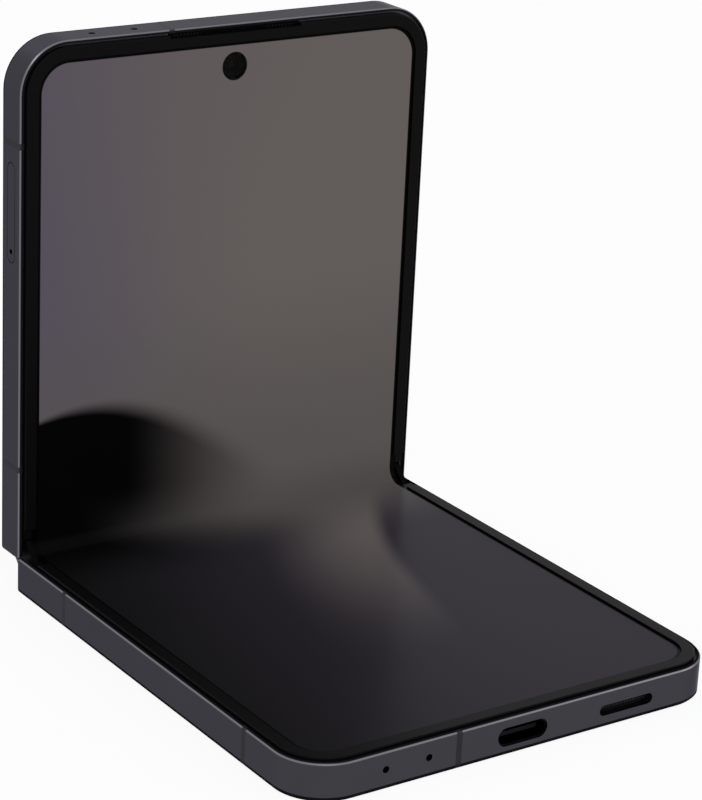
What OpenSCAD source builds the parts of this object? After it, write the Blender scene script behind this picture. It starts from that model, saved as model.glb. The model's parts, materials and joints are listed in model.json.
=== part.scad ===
// Folding phone, standing half open at a right angle, in millimetres.
// The lower half lies flat, the upper half stands up, and the hinge spine
// between them carries both on two parallel pivot lines.
// Origin: centre of the lower half's underside. +Z up, -X the SIM tray's side.

/* [Body] */
// Width across both halves
body_w = 75.2; // [72:0.1:80]
// Length from end to end when open flat
open_l = 166.7; // [160:0.1:180]
// Thickness of one half, from its back glass to the top of its bezel
body_t = 6.5; // [6.4:0.05:7.4]
// Rounding of the outline's free corners
corner_r = 8; // [7:0.5:11]
// Angle between the two halves as built
open_angle = 90; // [60:5:150]

/* [Frame] */
// Wall of the metal frame
wall_t = 1.4; // [1.2:0.05:1.6]
// Side wall beside the hinge, thinned to let the spine in
hinge_wall_t = 1; // [0.8:0.05:1.2]
// Depth of the metal's top edge below the top of the bezel
metal_deep = 0.35; // [0.25:0.05:0.5]
// Chamfer along the frame's outer edges
frame_chamfer = 0.35; // [0.2:0.05:0.5]
// Chamfer along the frame's back edge at the hinge
hinge_chamfer = 0.6; // [0.4:0.05:0.7]
// Width of the metal lip outside the bezel
lip_t = 0.5; // [0.45:0.05:0.6]
// Thickness of the plate that carries the display
mid_t = 0.8; // [0.6:0.05:1]
// Width of the metal rim round the back glass
back_rim = 0.8; // [0.6:0.05:1]
// Metal left under the hinge at the back
skirt_t = 0.9; // [0.8:0.05:1.1]
// Length of the metal strip between the back glass and the hinge edge
skirt_l = 1.5; // [1.2:0.1:2]
// Width of the plastic bands that split the frame into aerials
band_w = 1; // [0.8:0.05:1.4]
// Distance of the side bands next to the hinge from the fold line
band_near = 15.2; // [13:0.1:18]
// Distance of the side bands next to the free end from that end
band_end_v = 15.75; // [13.5:0.05:17]
// Place of the band in each free end, left of the middle
band_end_x = 11.4; // [11:0.1:14]

/* [Glass and display] */
// Thickness of the back glasses
glass_t = 0.55; // [0.4:0.05:0.6]
// Amount by which a back glass stands proud of the frame
glass_proud = 0.1; // [0.05:0.05:0.2]
// Depth of the display's surface below the top of the bezel
display_deep = 0.3; // [0.2:0.05:0.4]
// Thickness of the folding display with its carrier foil
display_t = 0.6; // [0.4:0.05:0.7]
// Visible width of the black bezel
bezel_w = 2; // [1.8:0.1:2.3]
// Gap between the bezel and the metal lip
bezel_gap = 0.4; // [0.3:0.05:0.5]
// Length, from the fold line, of the display that bends
flex_l = 5; // [4.8:0.1:5.4]
// How far the crease dips below the flat display
crease_dip = 0.25; // [0.1:0.05:0.4]
// Radius of the camera hole in the display
selfie_r = 2.1; // [1.8:0.05:2.4]
// Distance of the camera hole from the free end
selfie_in = 6.75; // [6.55:0.05:7.6]

/* [Hinge] */
// Gap between the two bezels when folded shut
closed_gap = 0.7; // [0.5:0.05:0.9]
// Depth of the pivot lines below the top of the bezel
pivot_deep = 1.4; // [1.3:0.05:1.5]
// Half of the gap between the backs of the two halves when open flat
edge_gap = 0.1; // [0.08:0.01:0.15]
// Running clearance between the spine cover and the skirts
cover_gap = 0.3; // [0.25:0.05:0.35]
// Wall of the spine cover
cover_t = 0.6; // [0.5:0.05:0.65]
// Clearance between the ends of the spine and the side walls
end_gap = 0.3; // [0.2:0.05:0.4]
// Distance of each hinge module's middle from its end of the spine
module_in = 15.3; // [15:0.1:16.3]
// Inner radius of the curved rails
rail_r = 2.25; // [2.2:0.05:2.3]
// Thickness of the curved rails
rail_t = 0.75; // [0.6:0.05:0.8]
// Width of each curved rail
rail_w = 3; // [2.5:0.1:3.1]
// Running clearance round rails and arms
slip = 0.1; // [0.05:0.01:0.12]
// Teeth of each synchronising gear
gear_teeth = 10; // [10:2:10]
// Tooth size: pitch diameter over teeth
gear_module = 0.2; // [0.195:0.001:0.205]
// Width of the gears
gear_w = 1.6; // [1.2:0.1:1.8]
// Play between meshing teeth, along the pitch circle
backlash = 0.06; // [0.05:0.01:0.08]
// Radius of the gear shafts
shaft_r = 0.4; // [0.35:0.01:0.45]
// Friction washers on each driving shaft
washer_n = 5; // [3:1:6]

/* [Keys and tray] */
// Length of the volume key
volume_l = 18; // [16:0.5:20]
// Distance of the volume key's middle from the fold line
volume_v = 57; // [56:0.5:57]
// Length of the side key
power_l = 12.5; // [11:0.5:14]
// Distance of the side key's middle from the fold line
power_v = 37; // [35:0.5:38]
// Height of the keys across the phone's thickness
key_h = 2.1; // [1.8:0.1:2.4]
// Amount by which the keys stand proud of the frame
key_proud = 0.35; // [0.3:0.05:0.45]
// Clearance round keys and tray
key_gap = 0.12; // [0.08:0.01:0.15]
// Length of the SIM tray's face
tray_l = 15.8; // [15:0.1:17]
// Distance of the tray's middle from the fold line
tray_v = 56.6; // [56:0.1:57]
// Depth of the tray into the phone
tray_in = 15; // [14:0.5:16]
// Height of the tray's face
tray_h = 2.3; // [2:0.1:2.5]

/* [Ports and cameras] */
// Width of the socket's mouth
usb_w = 8.9; // [8.6:0.05:9.2]
// Height of the socket's mouth
usb_h = 3; // [2.95:0.05:3.3]
// Length of the loudspeaker slot
speaker_l = 10; // [8:0.5:12]
// Height of the loudspeaker slot
speaker_h = 1.7; // [1.5:0.1:2.1]
// Distance of the loudspeaker slot's middle from the right side
speaker_in = 18.4; // [18.1:0.1:19.1]
// Radius of the microphone holes
mic_r = 0.55; // [0.4:0.05:0.6]
// Distances of the two microphone holes from the left side
mic_in = [13.6, 21];
// Distances of the two rear cameras from the right side
lens_in = [25.1, 10.6];
// Distance of the rear cameras from the free end
lens_end = 11.05; // [10.55:0.05:11.55]
// Outer radius of the rear camera rings
lens_r = 5.2; // [4.8:0.1:5.4]
// Height of the camera rings above the glass
lens_proud = 0.9; // [0.7:0.05:1.2]
// Half length of the earpiece slot
ear_half = 12; // [10:0.5:13]

/* [Inner parts] */
// Length of the lower battery
battery_l = 42; // [36:1:43]
// Space between each battery and the frame's outside
battery_side = 4.6; // [4:0.1:8]
// Length of the upper battery
small_battery_l = 28; // [24:1:29]
// Thickness of the circuit boards
board_t = 0.8; // [0.6:0.05:1]
// Thickness of the charging coil
coil_t = 0.35; // [0.25:0.05:0.4]

/* [Hidden] */

$fn = 64;
over = 1;                 // how far a cutter reaches past what it cuts
snug = 0.05;              // glue or foam gap between fixed pieces

// Heights are measured from the top of the bezel, so they are negative.
half_w = body_w / 2;
half_v = open_l / 2;      // fold line to free end
z_back = -body_t;
z_low = z_back + glass_proud;
z_glass = z_back + glass_t;
z_top = -metal_deep;
z_display = -display_deep;
z_tray = z_display - display_t;
z_bay = z_tray - mid_t;
z_skirt = z_low + skirt_t;
side_z = (z_low + z_top) / 2;                // middle of the frame's side

// Hinge lines: one per half, parallel, both at the same depth
pivot_v = pivot_deep + closed_gap / 2;
z_pivot = -pivot_deep;
fold_half = (180 - open_angle) / 2;          // turn about each line from flat
swing_r = pivot_v - edge_gap;                // rounding of the side walls' ends
cover_r = -z_skirt - pivot_deep - cover_gap; // outside of the spine cover
core_r = cover_r - cover_t;
z_core = z_pivot - core_r;
cover_wall_z = -2.2;                         // top of the cover's side walls
spine_w = half_w - hinge_wall_t - end_gap;
module_x = spine_w - module_in;              // middle of each hinge module
cap_t = 1;
cap_r = pivot_deep;                          // caps come level with the bezel

// Hinge bay inside each half
bay_v = 6.4;              // where the display plate begins
step_v = 8;               // where the wing plate ends
rib_v = [10.2, 11];       // wall between the hinge bay and the inner bay
wing_t = 0.3;
wing_tip = 2.4;
z_wing = z_tray - snug;
z_step = z_wing - wing_t;

// Bezel and display edges, as insets from the outline
bezel_out = lip_t + bezel_gap;
bezel_in = bezel_out + bezel_w;
display_in = bezel_in - 0.55;                // the bezel's lip covers this edge
tongue_v = pivot_v + cap_r + 2 * slip;       // end of the bezel's low tongues

// Gears: four in line, the outer two on the arms' shafts. Each arm's shaft lies
// at 45 degrees from the pivot line, so the arm slides straight along its half.
gear_r = gear_module * gear_teeth / 2;
shaft_y = 3 * gear_r;
idler_y = gear_r;
z_gear = z_pivot - (shaft_y - pivot_v);
gear_tip = gear_r + 0.95 * gear_module;
gear_root = gear_r - 1.2 * gear_module;
hub_r = 1.1;
arm_t = 0.5;
arm_reach = 9.5;
z_arm = z_gear + hub_r - arm_t;
stub = 0.35;                                 // shaft end past its last bearing

// Hinge module, along X from its middle; positive points away from the middle
rail_low = -8.5;
rail_up = -4;
gear_at = 1.2;
arm_at = [4, 6];
washer_at = [6.4, 9.6];
module_end = [-13.8, 13.8];
bay_gear = [0.8, 3.2];
bay_arm = [3.6, 9.8];
housing_r = core_r - snug;
z_housing = z_step - 0.15;
z_floor = z_core + 0.6;

// Brackets screwed under the display plates; they carry the curved rails
foot_v = [6, 9.9];
foot_h = 0.9;
foot_screw_x = [-6.25, 1.2];
foot_screw_v = 9;
module_screw_x = [-12.3, 12.2];
screw_r = 0.4;
head_r = 0.8;
head_h = 0.35;
rail_arc = [-140, 2];                        // angles that a rail covers
groove_arc = [-146, 92];                     // angles over which its groove is open
tooth_tip = 0.42;                            // tooth's width at its tip, over the pitch line's

// Ribbon between the halves: points in the spine's frame, fold line outwards
flex_half = 3;
flex_t = 0.15;
flex_room = 0.6;
flex_path = [
    [0, -3.4], [2.2, -3.1], [4, -1.9],
    for (p = [[6, -2.15], [9.5, -2.1], [12.6, -2.1]])
        let (y = p[0] - pivot_v, z = p[1] - z_pivot, c = cos(fold_half), s = sin(fold_half))
        [pivot_v + y * c - z * s, z_pivot + y * s + z * c]
];

// Fold of the display at rest, in the spine's own frame
surface_up = pivot_deep - display_deep;      // display's surface above a pivot line
attach = [
    for (up = [surface_up, surface_up - display_t])
        let (reach = flex_l - pivot_v, turn = fold_half)
        [pivot_v + reach * cos(turn) - up * sin(turn),
         z_pivot + reach * sin(turn) + up * cos(turn)]
];
vee_z = attach[0][1] - attach[0][0] * tan(fold_half);
crease_z = z_display - crease_dip;
crease_r = (crease_z - vee_z) / (1 / cos(fold_half) - 1);
crease_c = crease_z + crease_r;              // height of the bend's centre

// Place of the origin: centre of the lower half's underside
org_y = edge_gap + (half_v - edge_gap) / 2;

// Inner layout; v is the distance from the fold line, x that from the middle
cell_v = 14;              // both batteries begin here
cell_x = half_w - battery_side;
cell_gap = 2;             // between a battery and its circuit board
board_v = cell_v + battery_l + cell_gap;
main_v = cell_v + small_battery_l + cell_gap;
board_end = half_v - wall_t - snug;
board_x = half_w - wall_t - 0.3;
z_board = z_bay - board_t;
band_far = half_v - band_end_v;
side_screw_x = half_w - 7.6;
sub_screw_x = [-side_screw_x, -8, 8];
sub_screw_v = board_v + 2.5;

// Openings in the frame and what stands behind them
usb_z = -3.45;
usb_deep = 7.2;
usb_gap = 0.03;           // socket shell in its opening
usb_shell = 0.2;
usb_tongue = [3.3, 0.33]; // half width and half thickness
speaker_x = half_w - speaker_in;
speaker_z = -3.6;
speaker_box_x = 9.5;
speaker_box_l = 19.35;
mesh_t = 0.2;
mesh_pitch = 0.5;
mesh_n = floor((speaker_l / 2 - 0.8) / mesh_pitch);
mic_x = [for (m = mic_in) half_w - m];
mic_z = -3.25;
mic_half = 1.4;
motor_r = 4;
motor_h = 2.6;
motor_in = 11.6;          // from the left side
motor_end = 14.35;        // from the free end
coil_r = [9, 20];
key_z = side_z;
key_flex_x = half_w - wall_t - 1.5;
key_flex_t = 0.2;
key_flex_tab = [4, 7];    // along the main board's edge
dome_off = 5.5;           // each end's switch from the key's middle
dome_r = 0.9;
rib_r = 0.45;
rib_half = 0.8;
tray_body = 0.9;
tray_stop = 1;            // socket past the end of the tray

// Cameras and earpiece
panel_t = 0.5;
lens_x = [for (m = lens_in) half_w - m];
lens_v = half_v - lens_end;
cam_half = 5;
z_cam = z_back - lens_proud + 0.5;           // end of the camera's barrel
well_deep = 1.3;
well_r = [1.7, 2.9];                         // well in the barrel, from its floor up
window_t = 0.25;
flash_x = (lens_x[0] + lens_x[1]) / 2;
flash_off = 6.2;
flash_v = lens_v + flash_off;
flash_r = 1.4;
can_side = 4.6;           // from the card socket to the can
can_end = 2.3;            // from the can to the cameras
can_x = half_w - tray_in - tray_stop - can_side;
can_v = [main_v + 6, lens_v - cam_half - can_end];
main_screw_x = [-can_x - can_side / 2, can_x + can_side / 2];
main_screw_v = main_v + cell_gap;
can_h = 1.6;
can_t = 0.2;
selfie_v = half_v - selfie_in;
selfie_box = 2.8;
selfie_room = selfie_box + 0.4;
selfie_well = 0.7;
selfie_well_r = [0.6, 1.2];
ear_cut = 0.45;           // earpiece slot in the bezel's outer edge
ear_v = half_v - bezel_out;
ear_box_v = board_end - 3.1;
ear_box_t = 2.85;
grille_pitch = 0.6;
grille_n = floor((ear_half - 0.8) / grille_pitch);

// ---------- places of the three main bodies ----------

module in_lower() {
    translate([0, org_y, body_t]) mirror([0, 1, 0]) children();
}

module turn_at(y, angle) {
    translate([0, y, z_pivot]) rotate([angle, 0, 0]) translate([0, -y, -z_pivot]) children();
}

module in_spine() {
    translate([0, org_y, body_t]) turn_at(-pivot_v, fold_half) children();
}

module in_upper() {
    in_spine() turn_at(pivot_v, fold_half) children();
}

// ---------- shared shapes, in a half's own frame ----------
// +Y leads from the fold line to the free end.

module outline(inset, v0) {
    w = half_w - inset;
    r = corner_r - inset;
    v1 = half_v - inset;
    translate([-w, v0]) square([2 * w, v1 - r - v0]);
    translate([r - w, v1 - r - 1]) square([2 * (w - r), r + 1]);
    for (side = [-1, 1]) translate([side * (w - r), v1 - r]) circle(r);
}

module plate(inset, v0, z0, z1) {
    translate([0, 0, z0]) linear_extrude(z1 - z0) outline(inset, v0);
}

module block(x0, x1, v0, v1, z0, z1) {
    translate([x0, v0, z0]) cube([x1 - x0, v1 - v0, z1 - z0]);
}

// Plate with chamfered long edges; low and high are the two chamfers
module slab(inset, v0, z0, z1, low, high) {
    w = half_w - inset;
    r = corner_r - inset;
    v1 = half_v - inset;
    rotate([90, 0, 0]) translate([0, 0, r - v1]) linear_extrude(v1 - r - v0)
        polygon([[-w, z0 + low], [low - w, z0], [w - low, z0], [w, z0 + low],
                 [w, z1 - high], [w - high, z1], [high - w, z1], [-w, z1 - high]]);
    translate([r - w, 0, 0]) rotate([90, 0, 90]) linear_extrude(2 * (w - r))
        polygon([[v1 - r, z0], [v1 - low, z0], [v1, z0 + low],
                 [v1, z1 - high], [v1 - high, z1], [v1 - r, z1]]);
    for (side = [0, 1]) mirror([side, 0, 0]) translate([w - r, v1 - r, 0])
        rotate_extrude(angle = 90)
            polygon([[0, z0], [r - low, z0], [r, z0 + low],
                     [r, z1 - high], [r - high, z1], [0, z1]]);
}

// Upright slot with round ends, cut along v
module slot_v(x, z, width, height, v0, v1) {
    for (side = [-1, 1])
        translate([x + side * (width - height) / 2, v1, z]) rotate([90, 0, 0])
            cylinder(r = height / 2, h = v1 - v0);
    block(x - (width - height) / 2, x + (width - height) / 2, v0, v1,
          z - height / 2, z + height / 2);
}

// The same, cut along x
module slot_x(v, z, length, height, x0, x1) {
    for (side = [-1, 1])
        translate([x0, v + side * (length - height) / 2, z]) rotate([0, 90, 0])
            cylinder(r = height / 2, h = x1 - x0);
    block(x0, x1, v - (length - height) / 2, v + (length - height) / 2,
          z - height / 2, z + height / 2);
}

// Rod along x
module rod(x0, x1, v, z, r) {
    translate([x0, v, z]) rotate([0, 90, 0]) cylinder(r = r, h = x1 - x0);
}

// Profile drawn in (v, z) and carried along x
module along_x(x0, x1) {
    translate([x0, 0, 0]) rotate([90, 0, 90]) linear_extrude(x1 - x0) children();
}

// ---------- frame halves ----------

// Everything above and before this line swings past the other half
module wall_end_cut() {
    along_x(-half_w - over, half_w + over) difference() {
        translate([-over, z_pivot]) square([over + pivot_v, pivot_deep + over]);
        translate([pivot_v, z_pivot]) circle(swing_r);
    }
}

module half_frame() {
    inner_w = half_w - wall_t;
    bay_w = half_w - hinge_wall_t;
    difference() {
        slab(0, edge_gap, z_low, z_top, frame_chamfer, frame_chamfer);
        plate(lip_t, -over, z_tray, over);
        plate(back_rim, skirt_l, z_back - over, z_glass);
        plate(wall_t, rib_v[1], z_back - over, z_bay);
        block(-bay_w, bay_w, -over, bay_v, z_skirt, over);
        block(-inner_w, inner_w, bay_v - over, rib_v[0], z_skirt, z_bay);
        block(-inner_w, inner_w, bay_v - over, step_v, z_step, over);
        for (side = [-1, 1]) {
            arm_pocket(side);
            for (x = foot_screw_x)
                translate([side * (module_x + x), foot_screw_v, z_bay - over])
                    cylinder(r = screw_r, h = mid_t + 2 * over);
        }
        block(-flex_half - slip, flex_half + slip, rib_v[0] - over, rib_v[1] + over,
              z_bay - flex_room, z_bay + slip);
        wall_end_cut();
        translate([0, edge_gap, z_low]) rotate([45, 0, 0])
            cube([body_w + over, sqrt(2) * hinge_chamfer, sqrt(2) * hinge_chamfer], center = true);
        band_slots();
    }
}

// Space for the synchronising arm, which slides under the display plate
module arm_pocket(side) {
    x = [for (e = arm_at) side * (module_x + e)];
    block(min(x) - 2 * slip, max(x) + 2 * slip, bay_v - over, arm_reach + 4 * slip,
          z_bay - over, over);
}

// Splits in the frame that make aerials of its stretches
module band_slots() {
    for (v = [band_near, band_far], side = [-1, 1])
        block(side * half_w - wall_t, side * half_w + wall_t,
              v - band_w / 2, v + band_w / 2, z_back - over, over);
    block(-band_end_x - band_w / 2, -band_end_x + band_w / 2,
          half_v - wall_t, half_v + over, z_back - over, over);
}

module antenna_bands() {
    intersection() {
        difference() {
            slab(0, edge_gap, z_low, z_top, frame_chamfer, frame_chamfer);
            plate(lip_t, -over, z_tray, over);
            plate(back_rim, skirt_l, z_back - over, z_glass);
            plate(wall_t, rib_v[1], z_back - over, z_bay);
        }
        band_slots();
    }
}

// ---------- pieces that both halves have ----------

module back_glass() {
    slab(back_rim + snug, skirt_l + snug, z_back, z_glass, 0.12, 0);
}

module bezel(ear) {
    tongue_w = [half_w - display_in + snug, half_w - bezel_out];
    difference() {
        slab(bezel_out, flex_l, z_tray, 0, 0, 0.15);
        plate(display_in - snug, flex_l - over, z_tray - over, z_display);
        plate(bezel_in, flex_l - over, z_tray - over, over);
        if (ear)
            block(-ear_half, ear_half, half_v - bezel_out - ear_cut, half_v,
                  z_tray - over, over);
    }
    for (side = [0, 1]) mirror([side, 0, 0])
        block(tongue_w[0], tongue_w[1], tongue_v, flex_l + snug, z_tray, z_top);
}

module display() {
    plate(display_in, flex_l, z_tray, z_display);
}

module wing_plate() {
    w = half_w - display_in;
    block(-w, w, wing_tip, step_v - snug, z_step, z_wing);
}

// ---------- hinge ----------

// Fan of straight sides that covers the angles a0 to a1
function fan(a0, a1, r) =
    concat([[0, 0]], [for (i = [0:8]) let (a = a0 + (a1 - a0) * i / 8) r * [cos(a), sin(a)]]);

// Bracket with a rail curved about the pivot line; rail_x is the rail's place
module rotator(rail_x) {
    z_foot = z_bay - foot_h;
    rail_out = rail_r + rail_t;
    arm_low = z_pivot - 0.55;                // just over the cover's side wall
    difference() {
        block(rail_low - rail_w / 2, arm_at[0] - 1, foot_v[0], foot_v[1], z_foot, z_bay);
        for (x = foot_screw_x) translate([x, foot_screw_v, z_foot - over])
            cylinder(r = screw_r, h = foot_h + 2 * over);
    }
    along_x(rail_x - rail_w / 2, rail_x + rail_w / 2) {
        intersection() {
            translate([pivot_v, z_pivot]) difference() {
                circle(rail_out);
                circle(rail_r);
            }
            translate([pivot_v, z_pivot]) polygon(fan(rail_arc[0], rail_arc[1], 2 * rail_out));
        }
        translate([pivot_v + rail_r + snug, arm_low])
            square([bay_v - pivot_v - rail_r - 2 * snug, z_step - snug - arm_low]);
        translate([foot_v[0], z_foot]) square([bay_v - foot_v[0] - snug, z_step - snug - z_foot]);
    }
    guide_wall = 0.6;
    guide = [arm_at[0] - guide_wall - 2 * slip, arm_at[1] + guide_wall + 2 * slip];
    z_guide = z_arm - (sqrt(2) - 1) * (shaft_y - pivot_v) - 2 * slip;
    difference() {
        block(guide[0] - 0.2, guide[1], foot_v[0], foot_v[1], z_guide - 0.5, z_bay);
        block(arm_at[0] - 2 * slip, arm_at[1] + 2 * slip, foot_v[0] - over,
              foot_v[1] + over, z_guide, z_bay + over);
    }
}

module rotators(rail_x) {
    for (side = [0, 1]) mirror([side, 0, 0]) translate([module_x, 0, 0]) rotator(rail_x);
}

// One gear, teeth counted from `phase` degrees
module gear(phase) {
    root_half = (PI * gear_module / 4 - backlash / 4) * 1.25;
    pitch_half = PI * gear_module / 4 - backlash / 2;
    tip_half = pitch_half * tooth_tip;
    circle(gear_root + 0.02);
    for (i = [0:gear_teeth - 1]) rotate(phase + i * 360 / gear_teeth)
        polygon([[gear_root - 0.1, -root_half], [gear_root + 0.08, -root_half * 0.92],
                 [gear_r, -pitch_half], [gear_tip, -tip_half],
                 [gear_tip, tip_half], [gear_r, pitch_half],
                 [gear_root + 0.08, root_half * 0.92], [gear_root - 0.1, root_half]]);
}

// Places a piece of the gear train on its shaft, turned by `angle`
module on_shaft(y, angle) {
    in_spine() translate([0, y, z_gear]) rotate([angle, 0, 0]) children();
}

// Arm, driving gear and shaft in one piece, drawn about the shaft.
// toward is -1 for the lower half's arm and 1 for the upper half's.
module sync_arm(toward, phase) {
    for (side = [0, 1]) mirror([side, 0, 0]) translate([module_x, 0, 0]) {
        along_x(gear_at, gear_at + gear_w) gear(phase);
        rod(bay_gear[0] - 2 - stub, module_end[1] - 1, 0, 0, shaft_r);
        along_x(arm_at[0], arm_at[1]) {
            circle(hub_r);
            translate([toward < 0 ? shaft_y - arm_reach : 0, hub_r - arm_t])
                square([arm_reach - shaft_y, arm_t]);
        }
    }
}

module idler(phase) {
    for (side = [0, 1]) mirror([side, 0, 0]) translate([module_x, 0, 0]) {
        along_x(gear_at, gear_at + gear_w) gear(phase);
        rod(bay_gear[0] - 1 - stub, bay_gear[1] + 0.35, 0, 0, shaft_r);
    }
}

// Neighbouring gears turn opposite ways, half a tooth out of step
module lower_sync_arms() {
    color("#a09d98") on_shaft(-shaft_y, -fold_half) sync_arm(-1, 0);
}

module lower_idler_gears() {
    color("#b0a890") on_shaft(-idler_y, fold_half) idler(180 / gear_teeth);
}

module upper_idler_gears() {
    color("#b0a890") on_shaft(idler_y, -fold_half) idler(0);
}

module upper_sync_arms() {
    color("#a09d98") on_shaft(shaft_y, fold_half) sync_arm(1, 180 / gear_teeth);
}

// Cross-section of the space inside the spine cover
module core_section(r, top) {
    intersection() {
        union() {
            for (side = [-1, 1]) translate([side * pivot_v, z_pivot]) circle(r);
            translate([-pivot_v, z_pivot - core_r]) square([2 * pivot_v, core_r]);
        }
        translate([-2 * cover_r, z_core]) square([4 * cover_r, top - z_core]);
    }
}

module spine_cover() {
    color("#3b3a40") in_spine() difference() {
        along_x(-spine_w, spine_w) difference() {
            intersection() {
                union() {
                    for (side = [-1, 1]) translate([side * pivot_v, z_pivot]) circle(cover_r);
                    translate([-pivot_v, z_pivot - cover_r]) square([2 * pivot_v, cover_r]);
                }
                translate([-2 * cover_r, z_pivot - cover_r])
                    square([4 * cover_r, cover_wall_z - z_pivot + cover_r]);
            }
            core_section(core_r, over);
        }
        for (side = [-1, 1], x = module_screw_x)
            translate([side * (module_x + x), 0, z_core - cover_t / 2])
                cylinder(r = screw_r, h = cover_t + over);
    }
}

module hinge_housings() {
    floor_half = pivot_v + 0.4;
    color("#8d8b88") in_spine() for (side = [0, 1]) mirror([side, 0, 0])
        translate([module_x, 0, 0]) difference() {
            along_x(module_end[0], module_end[1]) core_section(housing_r, z_housing);
            rail_groove(-1, rail_low);
            rail_groove(1, rail_up);
            block(bay_gear[0], bay_gear[1], -3 * pivot_v, 3 * pivot_v, z_floor, over);
            block(bay_arm[0], bay_arm[1], -3 * pivot_v, 3 * pivot_v, z_floor, over);
            for (hand = [-1, 1]) {
                rod(bay_gear[0] - 2 - stub - snug, module_end[1] - 1 + snug,
                    hand * shaft_y, z_gear, shaft_r + snug);
                rod(bay_gear[0] - 1 - stub - snug, bay_gear[1] + 0.38,
                    hand * idler_y, z_gear, shaft_r + snug);
                for (bay = [bay_gear, bay_arm])
                    block(bay[0], bay[1], hand > 0 ? floor_half : -3 * pivot_v,
                          hand > 0 ? 3 * pivot_v : -floor_half, z_core - over, over);
            }
            for (x = module_screw_x) translate([x, 0, z_core - over]) {
                cylinder(r = screw_r, h = body_t);
                translate([0, 0, z_housing - 0.5 - z_core + over]) cylinder(r = head_r + slip, h = over);
            }
        }
}

// Ring cut in which a curved rail slides; hand is the side of the spine
module rail_groove(hand, at) {
    r0 = rail_r - slip;
    along_x(at - rail_w / 2 - slip, at + rail_w / 2 + slip)
        translate([hand * pivot_v, z_pivot]) mirror([hand > 0 ? 0 : 1, 0]) difference() {
            intersection() {
                circle(cover_r);
                polygon(fan(groove_arc[0], groove_arc[1], 2 * cover_r));
            }
            circle(r0);
        }
}

// Black plugs in the ends of the spine; their lobes turn between the bezels' tongues
module hinge_end_caps() {
    color("#141417") in_spine() for (side = [0, 1]) mirror([side, 0, 0])
        along_x(spine_w - cap_t, spine_w) {
            core_section(housing_r, cover_wall_z - snug);
            for (hand = [-1, 1]) translate([hand * pivot_v, z_pivot]) circle(cap_r);
            translate([-pivot_v, z_core]) square([2 * pivot_v, -z_core]);
        }
}

// Cupped washers pressed together on the driving shafts
module friction_washers() {
    pitch = (washer_at[1] - washer_at[0]) / washer_n;
    color("#b9b4a6") in_spine() for (side = [0, 1], hand = [-1, 1], i = [0:washer_n - 1])
        mirror([side, 0, 0])
            translate([module_x + washer_at[0] + i * pitch, hand * shaft_y, z_gear])
                rotate([0, 90, 0]) rotate_extrude()
                    polygon([[shaft_r + snug, 0], [hub_r - 0.1, 0.12],
                             [hub_r - 0.1, 0.42], [shaft_r + snug, 0.3]]);
}

module hinge_screws() {
    color("#9a9a9e") in_spine() for (side = [-1, 1], x = module_screw_x)
        translate([side * (module_x + x), 0, 0]) {
            translate([0, 0, z_core - cover_t / 2])
                cylinder(r = screw_r, h = z_housing - 0.5 - z_core + cover_t / 2);
            translate([0, 0, z_housing - 0.5]) screw_head();
        }
}

module screw_head() {
    difference() {
        cylinder(r = head_r, h = head_h);
        translate([0, 0, 0.15]) cylinder(r = 0.35, h = 1, $fn = 6);
    }
}

// The part of the display that bends, in its shape at rest
module display_fold() {
    w = half_w - display_in;
    steps = 12;
    color("#3a3738") in_spine() along_x(-w, w) polygon([
        [-attach[0][0], attach[0][1]],
        for (i = [-steps:steps]) bend_point(crease_r, i / steps),
        [attach[0][0], attach[0][1]],
        [attach[1][0], attach[1][1]],
        for (i = [-steps:steps]) bend_point(crease_r + display_t, -i / steps),
        [-attach[1][0], attach[1][1]]]);
}

// Point of the bend at a share of its angle, from -1 to 1
function bend_point(r, share) =
    [r * sin(share * fold_half), crease_c - r * cos(share * fold_half)];

// Ribbon of circuits from one half to the other, through the spine
module hinge_flex() {
    color("#6b4a22") in_spine() along_x(-flex_half, flex_half)
        for (hand = [-1, 1], i = [0:len(flex_path) - 2])
            ribbon([hand * flex_path[i][0], flex_path[i][1]],
                   [hand * flex_path[i + 1][0], flex_path[i + 1][1]]);
}

module ribbon(a, b) {
    d = b - a;
    n = flex_t / 2 * [-d[1], d[0]] / norm(d);
    polygon([a + n, a - n, b - n, b + n]);
    translate(a) circle(flex_t / 2, $fn = 16);
    translate(b) circle(flex_t / 2, $fn = 16);
}

// ---------- lower half ----------

module lower_frame() {
    color("#3f3e44") in_lower() difference() {
        half_frame();
        slot_v(0, usb_z, usb_w, usb_h, half_v - wall_t - over, half_v + over);
        slot_v(speaker_x, speaker_z, speaker_l, speaker_h, half_v - wall_t - over, half_v + over);
        for (x = mic_x) mic_hole(x);
    }
}

module mic_hole(x) {
    translate([-x, half_v + over, mic_z]) rotate([90, 0, 0])
        cylinder(r = mic_r, h = wall_t + 2 * over);
}

module lower_antenna_bands() {
    color("#2f2e33") in_lower() antenna_bands();
}

module lower_back_glass() {
    color("#2d2c31") in_lower() back_glass();
}

module lower_bezel() {
    color("#151517") in_lower() bezel(false);
}

module lower_display() {
    color("#2c2a2d") in_lower() display();
}

module lower_wing_plate() {
    color("#8d8b88") in_lower() wing_plate();
}

module lower_rotators() {
    color("#a09d98") in_lower() rotators(rail_low);
}

module lower_battery() {
    color("#1d1d20") in_lower()
        block(-cell_x, cell_x, cell_v, cell_v + battery_l,
              z_glass + coil_t, z_bay - snug);
}

module charging_coil() {
    color("#b87333") in_lower() translate([0, cell_v + battery_l / 2, z_glass]) difference() {
        cylinder(r = coil_r[1], h = coil_t);
        translate([0, 0, -over]) cylinder(r = coil_r[0], h = coil_t + 2 * over);
    }
}

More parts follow.
